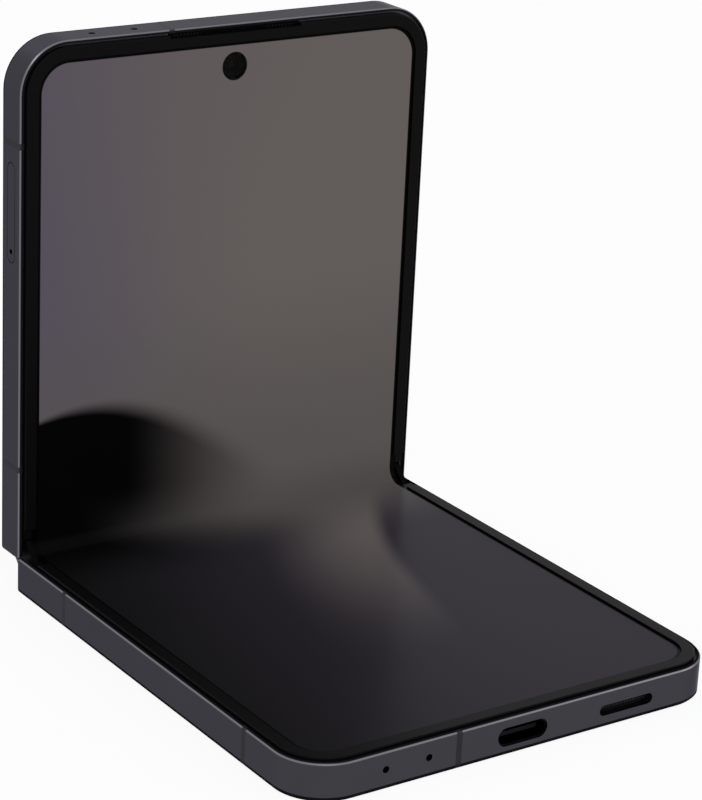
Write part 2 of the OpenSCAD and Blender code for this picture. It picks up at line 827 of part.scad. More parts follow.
module sub_board() {
    w = board_x;
    notch = usb_w / 2 + 0.3;
    color("#1f4a34") in_lower() difference() {
        union() {
            block(-w, w, board_v, half_v - corner_r, z_board, z_bay);
            block(-w + corner_r, w - corner_r, half_v - corner_r - over, board_end,
                  z_board, z_bay);
        }
        for (x = sub_screw_x) screw_hole(x, sub_screw_v);
        block(-notch, notch, half_v - usb_deep - 0.6, half_v, z_board - over, z_bay + over);
    }
}

module screw_hole(x, v) {
    translate([x, v, z_board - over]) cylinder(r = screw_r, h = board_t + 2 * over);
}

module usb_port() {
    mouth_v = half_v - 0.25;
    floor_v = mouth_v - usb_deep + usb_shell;
    h = usb_h - 2 * usb_gap;
    w = usb_w - 2 * usb_gap;
    color("#8b8b90") in_lower() {
        difference() {
            slot_v(0, usb_z, w, h, mouth_v - usb_deep, mouth_v);
            slot_v(0, usb_z, w - 2 * usb_shell, h - 2 * usb_shell, floor_v, mouth_v + over);
        }
        block(-usb_tongue[0], usb_tongue[0], floor_v, mouth_v - 0.9,
              usb_z - usb_tongue[1], usb_z + usb_tongue[1]);
    }
}

module loudspeaker() {
    color("#26262a") in_lower()
        block(speaker_x - speaker_box_x, speaker_x + speaker_box_x, half_v - speaker_box_l,
              board_end, z_glass + snug, z_board);
}

module speaker_mesh() {
    color("#333337") in_lower() difference() {
        slot_v(speaker_x, speaker_z, speaker_l - snug, speaker_h - snug,
               half_v - wall_t, half_v - wall_t + mesh_t);
        for (x = [-mesh_n:mesh_n], z = [-1, 0, 1])
            translate([speaker_x + x * mesh_pitch, half_v, speaker_z + z * mesh_pitch])
                rotate([90, 0, 0]) cylinder(r = mesh_pitch * 0.3, h = 2 * wall_t, $fn = 6);
    }
}

module vibration_motor() {
    color("#a8a8ac") in_lower()
        translate([motor_in - half_w, half_v - motor_end, z_board - motor_h])
        cylinder(r = motor_r, h = motor_h);
}

module microphones() {
    for (x = mic_x) block(-x - mic_half, -x + mic_half, board_end - 2, board_end,
                          mic_z - mic_half / 2, z_board);
}

module lower_microphones() {
    color("#c2b68a") in_lower() microphones();
}

module foot_screws() {
    for (side = [-1, 1], x = foot_screw_x)
        translate([side * (module_x + x), foot_screw_v, z_bay - foot_h]) {
            cylinder(r = screw_r, h = foot_h + mid_t - 2 * snug);
            mirror([0, 0, 1]) screw_head();
        }
}

module board_screws(places, v) {
    for (x = places) translate([x, v, z_board]) {
        cylinder(r = screw_r, h = board_t);
        mirror([0, 0, 1]) screw_head();
    }
}

module lower_screws() {
    color("#9a9a9e") in_lower() {
        foot_screws();
        board_screws(sub_screw_x, sub_screw_v);
    }
}

// ---------- upper half ----------

module upper_frame() {
    color("#45444a") in_upper() difference() {
        half_frame();
        for (x = mic_x) mic_hole(x);
        key_hole(volume_v, volume_l);
        key_hole(power_v, power_l);
        slot_x(tray_v, key_z, tray_l + 2 * key_gap, tray_h + 2 * key_gap,
               -half_w - over, -half_w + wall_t + over);
        translate([0, selfie_v, z_bay - over])
            cylinder(r = selfie_r + 0.1, h = mid_t + 2 * over);
        block(-ear_half / 2, ear_half / 2, ear_v - ear_cut, ear_v, z_bay - over, over);
    }
}

module key_hole(v, length) {
    slot_x(v, key_z, length + 2 * key_gap, key_h + 2 * key_gap,
           half_w - wall_t - over, half_w + over);
}

module upper_antenna_bands() {
    color("#333237") in_upper() antenna_bands();
}

module cover_glass() {
    color("#19191c") in_upper() difference() {
        back_glass();
        for (x = lens_x) translate([x, lens_v, z_back - over])
            cylinder(r = lens_r + snug, h = glass_t + 2 * over);
        translate([flash_x, flash_v, z_back - over])
            cylinder(r = flash_r + snug, h = glass_t + 2 * over);
    }
}

module cover_display() {
    color("#0e0e10") in_upper()
        block(-cell_x, cell_x, cell_v - cell_gap, lens_v - lens_r - cell_gap,
              z_glass, z_glass + panel_t);
}

module upper_bezel() {
    color("#151517") in_upper() bezel(true);
}

module upper_display() {
    color("#5b5654") in_upper() difference() {
        display();
        translate([0, selfie_v, z_tray - over]) cylinder(r = selfie_r, h = display_t + 2 * over);
    }
}

module upper_wing_plate() {
    color("#8d8b88") in_upper() wing_plate();
}

module upper_rotators() {
    color("#a09d98") in_upper() rotators(rail_up);
}

module upper_battery() {
    color("#1d1d20") in_upper()
        block(-cell_x, cell_x, cell_v, cell_v + small_battery_l,
              z_glass + panel_t + snug, z_bay - snug);
}

module main_board() {
    w = board_x;
    color("#1f4a34") in_upper() difference() {
        union() {
            block(-w, w, main_v, half_v - corner_r, z_board, z_bay);
            block(-w + corner_r, w - corner_r, half_v - corner_r - over, board_end,
                  z_board, z_bay);
        }
        for (x = lens_x) block(x - cam_half - 0.3, x + cam_half + 0.3, lens_v - cam_half - 0.3,
                               half_v, z_board - over, z_bay + over);
        block(-selfie_room, selfie_room, selfie_v - selfie_room, half_v, z_board - over, z_bay + over);
        block(-ear_half, ear_half, ear_box_v - 0.8, half_v, z_board - over, z_bay + over);
        block(key_flex_x - 0.3, half_w, main_v - over, volume_v + volume_l / 2 + 1,
              z_board - over, z_bay + over);
        for (x = main_screw_x) screw_hole(x, main_screw_v);
    }
}

module shield_can() {
    color("#b4b4b0") in_upper() difference() {
        block(-can_x, can_x, can_v[0], can_v[1], z_board - can_h, z_board);
        block(can_t - can_x, can_x - can_t, can_v[0] + can_t, can_v[1] - can_t,
              z_board - can_h + can_t, z_board + over);
    }
}

// Sensor box and barrel; the barrel's end is hollowed for the front lens
module camera_body(x) {
    color("#232326") in_upper() difference() {
        union() {
            block(x - cam_half, x + cam_half, lens_v - cam_half, lens_v + cam_half,
                  z_glass, z_bay - snug);
            translate([x, lens_v, z_cam])
                cylinder(r = lens_r - 1.8, h = z_glass - z_cam + well_deep);
        }
        translate([x, lens_v, z_cam + well_deep]) mirror([0, 0, 1])
            cylinder(r1 = well_r[0], r2 = 2 * well_r[1] - well_r[0], h = 2 * well_deep);
    }
}

module main_camera() {
    camera_body(lens_x[0]);
}

module wide_camera() {
    camera_body(lens_x[1]);
}

module camera_rings() {
    color("#55545a") in_upper() for (x = lens_x)
        translate([x, lens_v, z_glass]) mirror([0, 0, 1]) rotate_extrude()
            polygon([[lens_r - 1.1, 0], [lens_r, 0],
                     [lens_r, glass_t + lens_proud - 0.25],
                     [lens_r - 0.25, glass_t + lens_proud],
                     [lens_r - 0.7, glass_t + lens_proud],
                     [lens_r - 0.75, glass_t + lens_proud - 0.3],
                     [lens_r - 1.1, glass_t + lens_proud - 0.3]]);
}

module camera_windows() {
    color("#0b0b0d") in_upper() for (x = lens_x)
        translate([x, lens_v, z_back - lens_proud + 0.05])
            cylinder(r = lens_r - 0.8, h = window_t);
}

// Domed front lens at the bottom of each camera's well
module camera_lenses() {
    color("#14141c") in_upper() {
        for (x = lens_x) translate([x, lens_v, z_cam + well_deep]) mirror([0, 0, 1])
            dome(well_r[0] - snug / 2);
        translate([0, selfie_v, z_tray + 0.1 - selfie_well]) dome(selfie_well_r[0] - snug / 2);
    }
}

module dome(r) {
    ball = 1.6 * r;
    intersection() {
        translate([0, 0, 0.2 * r - sqrt(ball * ball - r * r)]) sphere(ball);
        cylinder(r = r, h = r);
    }
}

module flash_lens() {
    color("#e8e2c8") in_upper() translate([flash_x, flash_v, z_back])
        cylinder(r = flash_r, h = glass_t);
}

module selfie_camera() {
    color("#17171a") in_upper() difference() {
        union() {
            block(-selfie_box, selfie_box, selfie_v - selfie_box, selfie_v + selfie_box - 1.5,
                  z_bay - selfie_box - snug, z_bay - snug);
            translate([0, selfie_v, z_bay - over])
                cylinder(r = selfie_r - 0.1, h = z_tray + 0.1 - z_bay + over);
        }
        translate([0, selfie_v, z_tray + 0.1 - selfie_well])
            cylinder(r1 = selfie_well_r[0], r2 = 2 * selfie_well_r[1] - selfie_well_r[0],
                     h = 2 * selfie_well);
    }
}

module selfie_window() {
    color("#101013") in_upper() translate([0, selfie_v, z_display - window_t])
        cylinder(r = selfie_r - 0.02, h = window_t);
}

module earpiece() {
    color("#303034") in_upper()
        block(-0.6 * ear_half, 0.6 * ear_half, ear_box_v, board_end,
              z_bay - ear_box_t, z_bay - snug);
}

module earpiece_grille() {
    color("#3a3a3f") in_upper() difference() {
        block(-ear_half + snug, ear_half - snug, ear_v - ear_cut + snug, ear_v + bezel_gap,
              z_tray, z_tray + 0.15);
        for (i = [-grille_n:grille_n]) translate([i * grille_pitch, ear_v - 0.15, z_tray - over])
            cylinder(r = grille_pitch / 4, h = 2 * over, $fn = 6);
    }
}

module sim_socket() {
    shell = can_t;
    x0 = -board_x;
    x1 = -half_w + tray_in + tray_stop;
    v = [tray_v - tray_l / 2 - 0.3, tray_v + tray_l / 2 + 0.3];
    low = key_z - tray_body / 2 - 0.2 - shell;
    color("#b9b9b5") in_upper() difference() {
        block(x0, x1, v[0], v[1], low, z_board);
        block(x0 - over, x1 - shell, v[0] + shell, v[1] - shell,
              low + shell, z_board - shell);
    }
}

module key_flex() {
    face = key_flex_x + key_flex_t;
    color("#7a5524") in_upper() {
        block(key_flex_x, face, power_v - power_l / 2, volume_v + volume_l / 2,
              key_z - 1, key_z + 1);
        for (v = [power_v, volume_v - dome_off, volume_v + dome_off])
            rod(face, face + 0.25, v, key_z, dome_r);
        block(face, half_w - wall_t - 0.5 - rib_r - snug, volume_v - 1, volume_v + 1,
              key_z - rib_half, key_z + rib_half);
        block(key_flex_x, face, main_v + key_flex_tab[0], main_v + key_flex_tab[1], key_z, z_bay);
    }
}

module upper_microphones() {
    color("#c2b68a") in_upper() microphones();
}

module upper_screws() {
    color("#9a9a9e") in_upper() {
        foot_screws();
        board_screws(main_screw_x, main_screw_v);
    }
}

// ---------- keys and tray ----------

// Key with a rounded face, a flange behind the wall and a plunger per switch
module key(v, length, plungers) {
    x_in = half_w - wall_t - 0.35;
    slot_x(v, key_z, length, key_h, x_in, half_w + key_proud - 0.15);
    slot_x(v, key_z, length - 0.3, key_h - 0.3, half_w, half_w + key_proud);
    block(x_in - 0.3, x_in, v - length / 2 - 0.3, v + length / 2 + 0.3,
          key_z - key_h / 2 - 0.25, key_z + key_h / 2 + 0.25);
    for (p = plungers) rod(x_in - 0.5, x_in - 0.3, v + p, key_z, 0.5);
}

// The volume key rocks on a round rib behind its middle
module volume_key() {
    color("#4a494f") in_upper() {
        key(volume_v, volume_l, [-dome_off, dome_off]);
        translate([half_w - wall_t - 0.5, volume_v, key_z - rib_half])
            cylinder(r = rib_r, h = 2 * rib_half);
    }
}

module power_key() {
    color("#4a494f") in_upper() key(power_v, power_l, [0]);
}

module sim_tray() {
    card = [8.9, 12.4];
    x0 = -half_w + wall_t;
    x1 = -half_w + tray_in;
    eject_v = tray_v - tray_l / 2 + 1.7;
    color("#45444a") in_upper() difference() {
        union() {
            slot_x(tray_v, key_z, tray_l, tray_h, -half_w, x0);
            block(x0 - 0.1, x1, tray_v - tray_l / 2 + 0.5, tray_v + tray_l / 2 - 0.5,
                  key_z - tray_body / 2, key_z + tray_body / 2);
        }
        block(x1 - 1 - card[0], x1 - 1, tray_v - 5.4, tray_v - 5.4 + card[1],
              key_z - tray_body, key_z + tray_body);
        rod(-half_w - over, x0 + over, eject_v, key_z, 0.42);
    }
}

lower_frame();
lower_antenna_bands();
lower_back_glass();
lower_bezel();
lower_display();
lower_wing_plate();
lower_rotators();
lower_battery();
charging_coil();
sub_board();
usb_port();
loudspeaker();
speaker_mesh();
vibration_motor();
lower_microphones();
lower_screws();
spine_cover();
hinge_housings();
hinge_end_caps();
friction_washers();
hinge_screws();
display_fold();
hinge_flex();
lower_sync_arms();
upper_sync_arms();
lower_idler_gears();
upper_idler_gears();
upper_frame();
upper_antenna_bands();
cover_glass();
cover_display();
upper_bezel();
upper_display();
upper_wing_plate();
upper_rotators();
upper_battery();
main_board();
shield_can();
main_camera();
wide_camera();
camera_rings();
camera_windows();
camera_lenses();
flash_lens();
selfie_camera();
selfie_window();
earpiece();
earpiece_grille();
sim_socket();
key_flex();
upper_microphones();
upper_screws();
volume_key();
power_key();
sim_tray();
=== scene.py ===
import json
import math

import bpy
from mathutils import Matrix, Vector


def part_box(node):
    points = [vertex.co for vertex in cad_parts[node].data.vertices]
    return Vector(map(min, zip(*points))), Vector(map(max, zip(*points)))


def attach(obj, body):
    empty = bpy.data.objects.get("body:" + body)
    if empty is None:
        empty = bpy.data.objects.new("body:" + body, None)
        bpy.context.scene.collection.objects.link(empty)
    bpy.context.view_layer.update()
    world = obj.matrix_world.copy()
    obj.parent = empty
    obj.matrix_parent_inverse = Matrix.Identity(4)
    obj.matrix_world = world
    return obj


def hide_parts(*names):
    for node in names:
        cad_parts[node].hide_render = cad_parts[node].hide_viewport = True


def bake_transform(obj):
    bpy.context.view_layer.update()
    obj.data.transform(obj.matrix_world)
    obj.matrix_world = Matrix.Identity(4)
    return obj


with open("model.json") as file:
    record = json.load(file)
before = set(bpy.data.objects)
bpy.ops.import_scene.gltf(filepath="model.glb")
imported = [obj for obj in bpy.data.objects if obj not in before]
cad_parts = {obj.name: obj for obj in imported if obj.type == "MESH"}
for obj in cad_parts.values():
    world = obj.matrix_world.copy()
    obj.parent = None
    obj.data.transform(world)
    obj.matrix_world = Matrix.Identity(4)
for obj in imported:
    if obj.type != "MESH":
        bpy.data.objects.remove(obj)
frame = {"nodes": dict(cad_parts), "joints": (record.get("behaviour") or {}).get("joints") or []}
nodes = frame["nodes"]
joints = {joint["name"]: joint for joint in frame["joints"]}
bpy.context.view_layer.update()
mm = 0.001
print("frame loaded:", len(nodes), "nodes")


# a node tree with one way to add any node, for materials and for geometry alike
class Graph:
    def __init__(self, tree):
        self.tree = tree

    def feed(self, socket, value):  # links a wire or sets a value; three numbers do for a colour
        if isinstance(value, Wire):
            self.tree.links.new(value.socket, socket)
        elif socket.type == "RGBA" and len(value) == 3:
            socket.default_value = (*value, 1)
        else:
            socket.default_value = value

    def node(self, kind, settings=None, sockets=None, out=0):
        made = self.tree.nodes.new(kind)
        for name, value in (settings or {}).items():
            setattr(made, name, value)
        for key, value in (sockets or {}).items():
            self.feed(made.inputs[key], value)
        return Wire(self, made.outputs[out])

    def end(self, kind, surface):  # the tree's output, made anew
        for old in [n for n in self.tree.nodes if n.bl_idname == kind]:
            self.tree.nodes.remove(old)
        self.feed(self.tree.nodes.new(kind).inputs["Surface"], surface)

    def shownRay(self):  # 1 for rays that show the backdrop: to the camera, off metal or through glass
        outputs = self.node("ShaderNodeLightPath").socket.node.outputs
        camera, glossy, through = (Wire(self, outputs[name]) for name in
                                   ("Is Camera Ray", "Is Glossy Ray", "Is Transmission Ray"))
        return (camera + glossy + through).maths("MINIMUM", 1.0)


# one output socket; plain sums on it add the Math nodes they need
class Wire:
    def __init__(self, graph, socket):
        self.graph = graph
        self.socket = socket

    def maths(self, operation, other=None, swapped=False):
        values = [self] if other is None else [other, self] if swapped else [self, other]
        return self.graph.node("ShaderNodeMath", {"operation": operation}, dict(enumerate(values)))

    def __add__(self, other):
        return self.maths("ADD", other)

    def __radd__(self, other):
        return self.maths("ADD", other, True)

    def __sub__(self, other):
        return self.maths("SUBTRACT", other)

    def __rsub__(self, other):
        return self.maths("SUBTRACT", other, True)

    def __mul__(self, other):
        return self.maths("MULTIPLY", other)

    def __rmul__(self, other):
        return self.maths("MULTIPLY", other, True)

    def __truediv__(self, other):
        return self.maths("DIVIDE", other)

    def __rtruediv__(self, other):
        return self.maths("DIVIDE", other, True)

    def __pow__(self, other):
        return self.maths("POWER", other)

    def __abs__(self):
        return self.maths("ABSOLUTE")

    def sine(self):
        return self.maths("SINE")

    def step(self, low, high):  # smooth step from 0 at low to 1 at high
        return self.graph.node("ShaderNodeMapRange", {"interpolation_type": "SMOOTHSTEP"},
                               {"Value": self, "From Min": low, "From Max": high})

    def parts(self):
        split = self.graph.node("ShaderNodeSeparateXYZ", {}, {0: self})
        return [Wire(self.graph, socket) for socket in split.socket.node.outputs]


socketNames = {"colour": "Base Color", "roughness": "Roughness", "metallic": "Metallic",
               "coat": "Coat Weight", "coatRoughness": "Coat Roughness", "specular": "Specular IOR Level",
               "glow": "Emission Color", "glowStrength": "Emission Strength", "normal": "Normal",
               "clear": "Transmission Weight", "ior": "IOR", "tint": "Specular Tint"}


# a material with one Principled shader; place is the piece's own Object coordinates
class Finish(Graph):
    def __init__(self, name):
        self.material = bpy.data.materials.new(name)
        self.material.use_nodes = True
        super().__init__(self.material.node_tree)
        self.tree.nodes.clear()
        self.shader = self.tree.nodes.new("ShaderNodeBsdfPrincipled")
        self.end("ShaderNodeOutputMaterial", Wire(self, self.shader.outputs[0]))
        self.place = self.node("ShaderNodeTexCoord", out="Object")

    def set(self, **sockets):
        for name, value in sockets.items():
            self.feed(self.shader.inputs[socketNames[name]], value)
        return self.material

    def noise(self, scale, detail=2.0):
        return self.node("ShaderNodeTexNoise", {},
                         {"Vector": self.place, "Scale": scale, "Detail": detail})

    def mix(self, first, second, factor):
        return self.node("ShaderNodeMix", {"data_type": "RGBA"}, {0: factor, 6: first, 7: second}, out=2)

    def bump(self, height, strength, distance):
        return self.node("ShaderNodeBump", {},
                         {"Height": height, "Strength": strength, "Distance": distance})


# the photo's viewpoint; aside and above shift the camera in its own plane
cameraView = {"azimuth": -35.107, "elevation": 20.167, "roll": 2.784, "target": (0, 0.021725, 0.030),
              "distance": 0.441438, "aside": 0.009589, "above": 0.002902, "lens": 125.919,
              "sensor": 36, "nearest": 0.01, "farthest": 20}


def addCamera(view):
    azimuth, elevation, roll = (math.radians(view[k]) for k in ("azimuth", "elevation", "roll"))
    back = Vector((math.sin(azimuth) * math.cos(elevation),
                   -math.cos(azimuth) * math.cos(elevation), math.sin(elevation)))
    right = (-back).cross(Vector((0, 0, 1))).normalized()
    up = right.cross(-back)
    side = right * math.cos(roll) + up * math.sin(roll)
    top = up * math.cos(roll) - right * math.sin(roll)
    data = bpy.data.cameras.new("camera")
    data.lens = view["lens"]
    data.sensor_width = view["sensor"]
    data.clip_start = view["nearest"]
    data.clip_end = view["farthest"]
    camera = bpy.data.objects.new("camera", data)
    bpy.context.scene.collection.objects.link(camera)
    turn = Matrix((side, top, back)).transposed().to_4x4()
    turn.translation = (Vector(view["target"]) + back * view["distance"]
                        + side * view["aside"] + top * view["above"])
    camera.matrix_world = turn
    bpy.context.scene.camera = camera


studio = {
    "worldLevel": 0.6, "floorSize": 4.0, "floorShown": 0.92, "floorColour": (0.93, 0.93, 0.94),
    "floorOther": (0.94, 0.94, 0.94), "floorGrain": 900.0, "floorRoughness": 0.9, "floorSpecular": 0.1,
    "lamps": [  # name, place, target, width, height, watts
        ("keyLamp", (-0.7, -1.5, 1.5), (0, 0, 0.03), 1.6, 1.2, 10.0),
        ("fillLamp", (1.6, -0.9, 0.9), (0, 0, 0.03), 1.4, 1.2, 5.0),
        ("backLamp", (0.2, 1.6, 1.3), (0, 0.03, 0.05), 1.6, 0.8, 2.5),
    ]}


def addStage(settings):
    world = bpy.data.worlds.new("studio")
    world.use_nodes = True
    bpy.context.scene.world = world
    sky = Graph(world.node_tree)
    world.node_tree.nodes.clear()
    level = sky.shownRay() * (1 - settings["worldLevel"]) + settings["worldLevel"]
    light = sky.node("ShaderNodeBackground", {}, {"Color": (1, 1, 1), "Strength": level})
    sky.end("ShaderNodeOutputWorld", light)

    half = settings["floorSize"] / 2
    corners = [(-half, -half, 0), (half, -half, 0), (half, half, 0), (-half, half, 0)]
    floor = meshPiece("floor", corners, [(0, 1, 2, 3)])
    paper = Finish("floorPaper")
    glow = paper.node("ShaderNodeEmission", {}, {"Color": (1, 1, 1), "Strength": 1.0})
    colour = paper.mix(settings["floorColour"], settings["floorOther"], paper.noise(settings["floorGrain"]))
    paper.set(colour=colour, roughness=settings["floorRoughness"], specular=settings["floorSpecular"])
    blend = paper.node("ShaderNodeMixShader", {}, {0: paper.shownRay() * settings["floorShown"],
                                                   1: Wire(paper, paper.shader.outputs[0]), 2: glow})
    paper.end("ShaderNodeOutputMaterial", blend)
    floor.data.materials.append(paper.material)

    for name, place, target, width, height, watts in settings["lamps"]:
        data = bpy.data.lights.new(name, "AREA")
        data.shape = "RECTANGLE"
        data.size = width
        data.size_y = height
        data.energy = watts
        lamp = bpy.data.objects.new(name, data)
        bpy.context.scene.collection.objects.link(lamp)
        lamp.location = place
        lamp.rotation_euler = (Vector(target) - Vector(place)).to_track_quat("-Z", "Y").to_euler()


def meshPiece(name, points, faces, smoothAngle=None):
    mesh = bpy.data.meshes.new(name)
    mesh.from_pydata([tuple(p) for p in points], [], faces)
    mesh.update()
    if smoothAngle is not None:
        mesh.polygons.foreach_set("use_smooth", [True] * len(mesh.polygons))
        mesh.set_sharp_from_angle(angle=math.radians(smoothAngle))
    piece = bpy.data.objects.new(name, mesh)
    bpy.context.scene.collection.objects.link(piece)
    return piece


addCamera(cameraView)
addStage(studio)
print("camera, floor and lamps placed")


# plain finishes: a colour that drifts, a fine grain, and a roughness that follows both
grainSizes = {"bead": 9000.0, "fine": 5000.0, "soft": 1800.0, "drift": 90.0}
grainDepth = 0.05 * mm
plainTint = (1, 1, 1)

plainFinishes = {
    "bezelBlack": {"colour": (0.0024, 0.0024, 0.0028), "other": (0.0036, 0.0034, 0.004), "roughness": 0.4,
                   "spread": 0.08, "specular": 0.04, "grain": "fine", "bump": 0.08},
    "capBlack": {"colour": (0.0013, 0.0013, 0.0016), "other": (0.002, 0.0019, 0.0022), "roughness": 0.5,
                 "spread": 0.08, "specular": 0.02, "grain": "soft", "bump": 0.08},
    # the port's shell and tongue: dark plating, made near black as painted shade inside the port
    "socketMetal": {"colour": (0.005, 0.005, 0.006), "other": (0.009, 0.009, 0.0105), "roughness": 0.4,
                    "spread": 0.1, "metal": 1, "grain": "fine", "bump": 0.05},
    "moduleBlack": {"colour": (0.008, 0.008, 0.009), "other": (0.013, 0.013, 0.014), "roughness": 0.5,
                    "spread": 0.1, "specular": 0.25, "grain": "soft", "bump": 0.15},
    "steelPlate": {"colour": (0.42, 0.41, 0.39), "other": (0.5, 0.49, 0.47), "roughness": 0.35,
                   "spread": 0.12, "metal": 1, "grain": "soft", "bump": 0.08},
    "hingeSteel": {"colour": (0.36, 0.35, 0.33), "other": (0.47, 0.46, 0.43), "roughness": 0.28,
                   "spread": 0.15, "metal": 1, "grain": "soft", "bump": 0.1},
    "zincCast": {"colour": (0.3, 0.29, 0.28), "other": (0.4, 0.39, 0.38), "roughness": 0.42,
                 "spread": 0.1, "metal": 1, "grain": "soft", "bump": 0.25},
    "springSteel": {"colour": (0.45, 0.4, 0.3), "other": (0.5, 0.47, 0.4), "roughness": 0.25,
                    "spread": 0.1, "metal": 1, "grain": "fine", "bump": 0.05},
    "screwSteel": {"colour": (0.3, 0.3, 0.32), "other": (0.42, 0.42, 0.44), "roughness": 0.3,
                   "spread": 0.12, "metal": 1, "grain": "fine", "bump": 0.08},
    "cellPouch": {"colour": (0.012, 0.012, 0.014), "other": (0.022, 0.022, 0.024), "roughness": 0.38,
                  "spread": 0.12, "grain": "soft", "bump": 0.3},
    "canMetal": {"colour": (0.4, 0.4, 0.39), "other": (0.5, 0.5, 0.49), "roughness": 0.3,
                 "spread": 0.14, "metal": 1, "grain": "soft", "bump": 0.08},
    "contactGold": {"colour": (0.6, 0.44, 0.2), "other": (0.7, 0.54, 0.3), "roughness": 0.25,
                    "spread": 0.1, "metal": 1, "grain": "fine", "bump": 0.05},
    "meshDark": {"colour": (0.02, 0.02, 0.022), "other": (0.035, 0.035, 0.038), "roughness": 0.45,
                 "spread": 0.1, "metal": 1, "grain": "fine", "bump": 0.1},
    "ringMetal": {"colour": (0.05, 0.049, 0.058), "other": (0.07, 0.068, 0.08), "roughness": 0.26,
                  "spread": 0.06, "metal": 1, "grain": "bead", "bump": 0.04},
    "keyMetal": {"colour": (0.051, 0.049, 0.058), "other": (0.057, 0.055, 0.065), "roughness": 0.33,
                 "spread": 0.06, "metal": 1, "tint": (0.5, 0.5, 0.52), "grain": "bead", "bump": 0.05},
    "spineMetal": {"colour": (0.05, 0.049, 0.057), "other": (0.058, 0.056, 0.066), "roughness": 0.24,
                   "spread": 0.05, "metal": 1, "grain": "bead", "bump": 0.04},
}


def plainFinish(name, settings):
    made = Finish(name)
    drift = made.noise(grainSizes["drift"], 3.0)
    grain = made.noise(grainSizes[settings["grain"]])
    lowest = settings["roughness"] - settings["spread"] / 2
    return made.set(colour=made.mix(settings["colour"], settings["other"], drift),
                    roughness=(drift + grain) * (settings["spread"] / 2) + lowest,
                    metallic=settings.get("metal", 0), specular=settings.get("specular", 0.5),
                    tint=settings.get("tint", plainTint),
                    normal=made.bump(grain, settings["bump"], grainDepth))


# the anodised frame: satin sides, a thin polished line along the front chamfer whose lighter colour is a
# painted highlight, and painted shade on the lip beyond it and on the rear rim
frameMetal = {
    # the chamfer colour is a painted highlight on the polished edge; rim is painted shade
    "side": (0.051, 0.049, 0.058), "sideOther": (0.057, 0.055, 0.065), "chamfer": (0.165, 0.16, 0.175),
    "rim": (0.009, 0.0085, 0.0105), "tint": (0.5, 0.5, 0.52), "drift": 60.0, "lit": 0.21, "blur": 0.04,
    "roughness": 0.34, "chamferRoughness": 0.24, "rimRoughness": 0.7, "grainSpread": 0.06,
    "driftSpread": 0.05, "bump": 0.05, "depth": 0.03 * mm}

# the antenna bands' lighter chamfer colour is a painted highlight
antennaPlastic = {
    "side": (0.026, 0.025, 0.03), "sideOther": (0.031, 0.03, 0.036), "chamfer": (0.04, 0.039, 0.044),
    "roughness": 0.5, "spread": 0.08, "specular": 0.05, "bump": 0.1}

# for each half the object axis through its thickness, and the places in mm on it where the polished line
# with its painted highlight begins and where the painted shade on the rear rim ends
highlightShadePlaces = {"lower": (2, 5.78, 0.82), "upper": (1, 41.77, 46.8)}


def frameZones(made, axis, front, rear, settings):  # the chamfer's painted highlight and the painted shade on the lip and rear rim, as factors
    span = abs(front - rear)
    depth = (made.place.parts()[axis] / mm - rear) / (front - rear)  # 0 at the rear, 1 at the front
    blur = settings["blur"] / span
    lit = settings["lit"] / span
    # painted shade: the lip above the lit strip and the rear rim are darkened
    shadedRims = depth.step(1 + lit - blur, 1 + lit + blur) + (1 - depth.step(-blur, blur))
    return depth.step(1 - blur, 1 + blur), shadedRims


def frameFinish(name, axis, front, rear, settings):
    made = Finish(name)
    chamfer, shadedRims = frameZones(made, axis, front, rear, settings)
    drift = made.noise(settings["drift"], 3.0)
    grain = made.noise(grainSizes["bead"]) * (1 - chamfer)
    side = made.mix(settings["side"], settings["sideOther"], drift)
    # the lighter chamfer colour is a painted highlight along the polished edge
    sideAndHighlight = made.mix(side, settings["chamfer"], chamfer)
    lowest = settings["roughness"] - (settings["grainSpread"] + settings["driftSpread"]) / 2
    rough = grain * settings["grainSpread"] + drift * settings["driftSpread"] + lowest
    rough = rough + chamfer * (settings["chamferRoughness"] - settings["roughness"])
    rough = rough + shadedRims * (settings["rimRoughness"] - settings["roughness"])
    return made.set(colour=made.mix(sideAndHighlight, settings["rim"], shadedRims), metallic=1 - shadedRims, specular=0,
                    tint=settings["tint"], roughness=rough,
                    normal=made.bump(grain, settings["bump"], settings["depth"]))


# the bands take the frame's painted highlight on the chamfer and painted shade on the lip and rear rim
def bandFinish(name, axis, front, rear, settings):
    made = Finish(name)
    chamfer, shadedRims = frameZones(made, axis, front, rear, frameMetal)
    grain = made.noise(grainSizes["fine"])
    side = made.mix(settings["side"], settings["sideOther"], grain)
    side = made.mix(side, settings["chamfer"], chamfer)
    lowest = settings["roughness"] - settings["spread"] / 2
    return made.set(colour=made.mix(side, frameMetal["rim"], shadedRims), specular=settings["specular"],
                    roughness=grain * settings["spread"] + lowest,
                    normal=made.bump(grain, settings["bump"], grainDepth))


# the etched glass on the lower half's back
backGlass = {"colour": (0.028, 0.027, 0.032), "other": (0.034, 0.033, 0.039), "drift": 35.0,
             "sparkle": 14000.0, "driftSpread": 0.06, "sparkleSpread": 0.08, "roughness": 0.34,
             "specular": 0.4, "bump": 0.12, "depth": 0.02 * mm}


def etchedGlass(name, settings):
    made = Finish(name)
    drift = made.noise(settings["drift"])
    sparkle = made.noise(settings["sparkle"])
    lowest = settings["roughness"] - (settings["driftSpread"] + settings["sparkleSpread"]) / 2
    return made.set(colour=made.mix(settings["colour"], settings["other"], drift),
                    specular=settings["specular"],
                    roughness=drift * settings["driftSpread"] + sparkle * settings["sparkleSpread"] + lowest,
                    normal=made.bump(sparkle, settings["bump"], settings["depth"]))


# the polished glass over the cover display; low, high and side are the display's edges behind it
coverGlass = {"colour": (0.003, 0.003, 0.0038), "panel": (0.009, 0.009, 0.0115), "low": 17.8 * mm,
              "high": 70.9 * mm, "side": 33.0 * mm, "blur": 0.4 * mm, "smear": 45.0, "smearFrom": 0.55,
              "smearTo": 0.8, "smearRoughness": 0.06, "roughness": 0.05, "specular": 0.32, "coat": 0.1,
              "coatRoughness": 0.04, "bump": 0.02, "depth": 0.1 * mm}


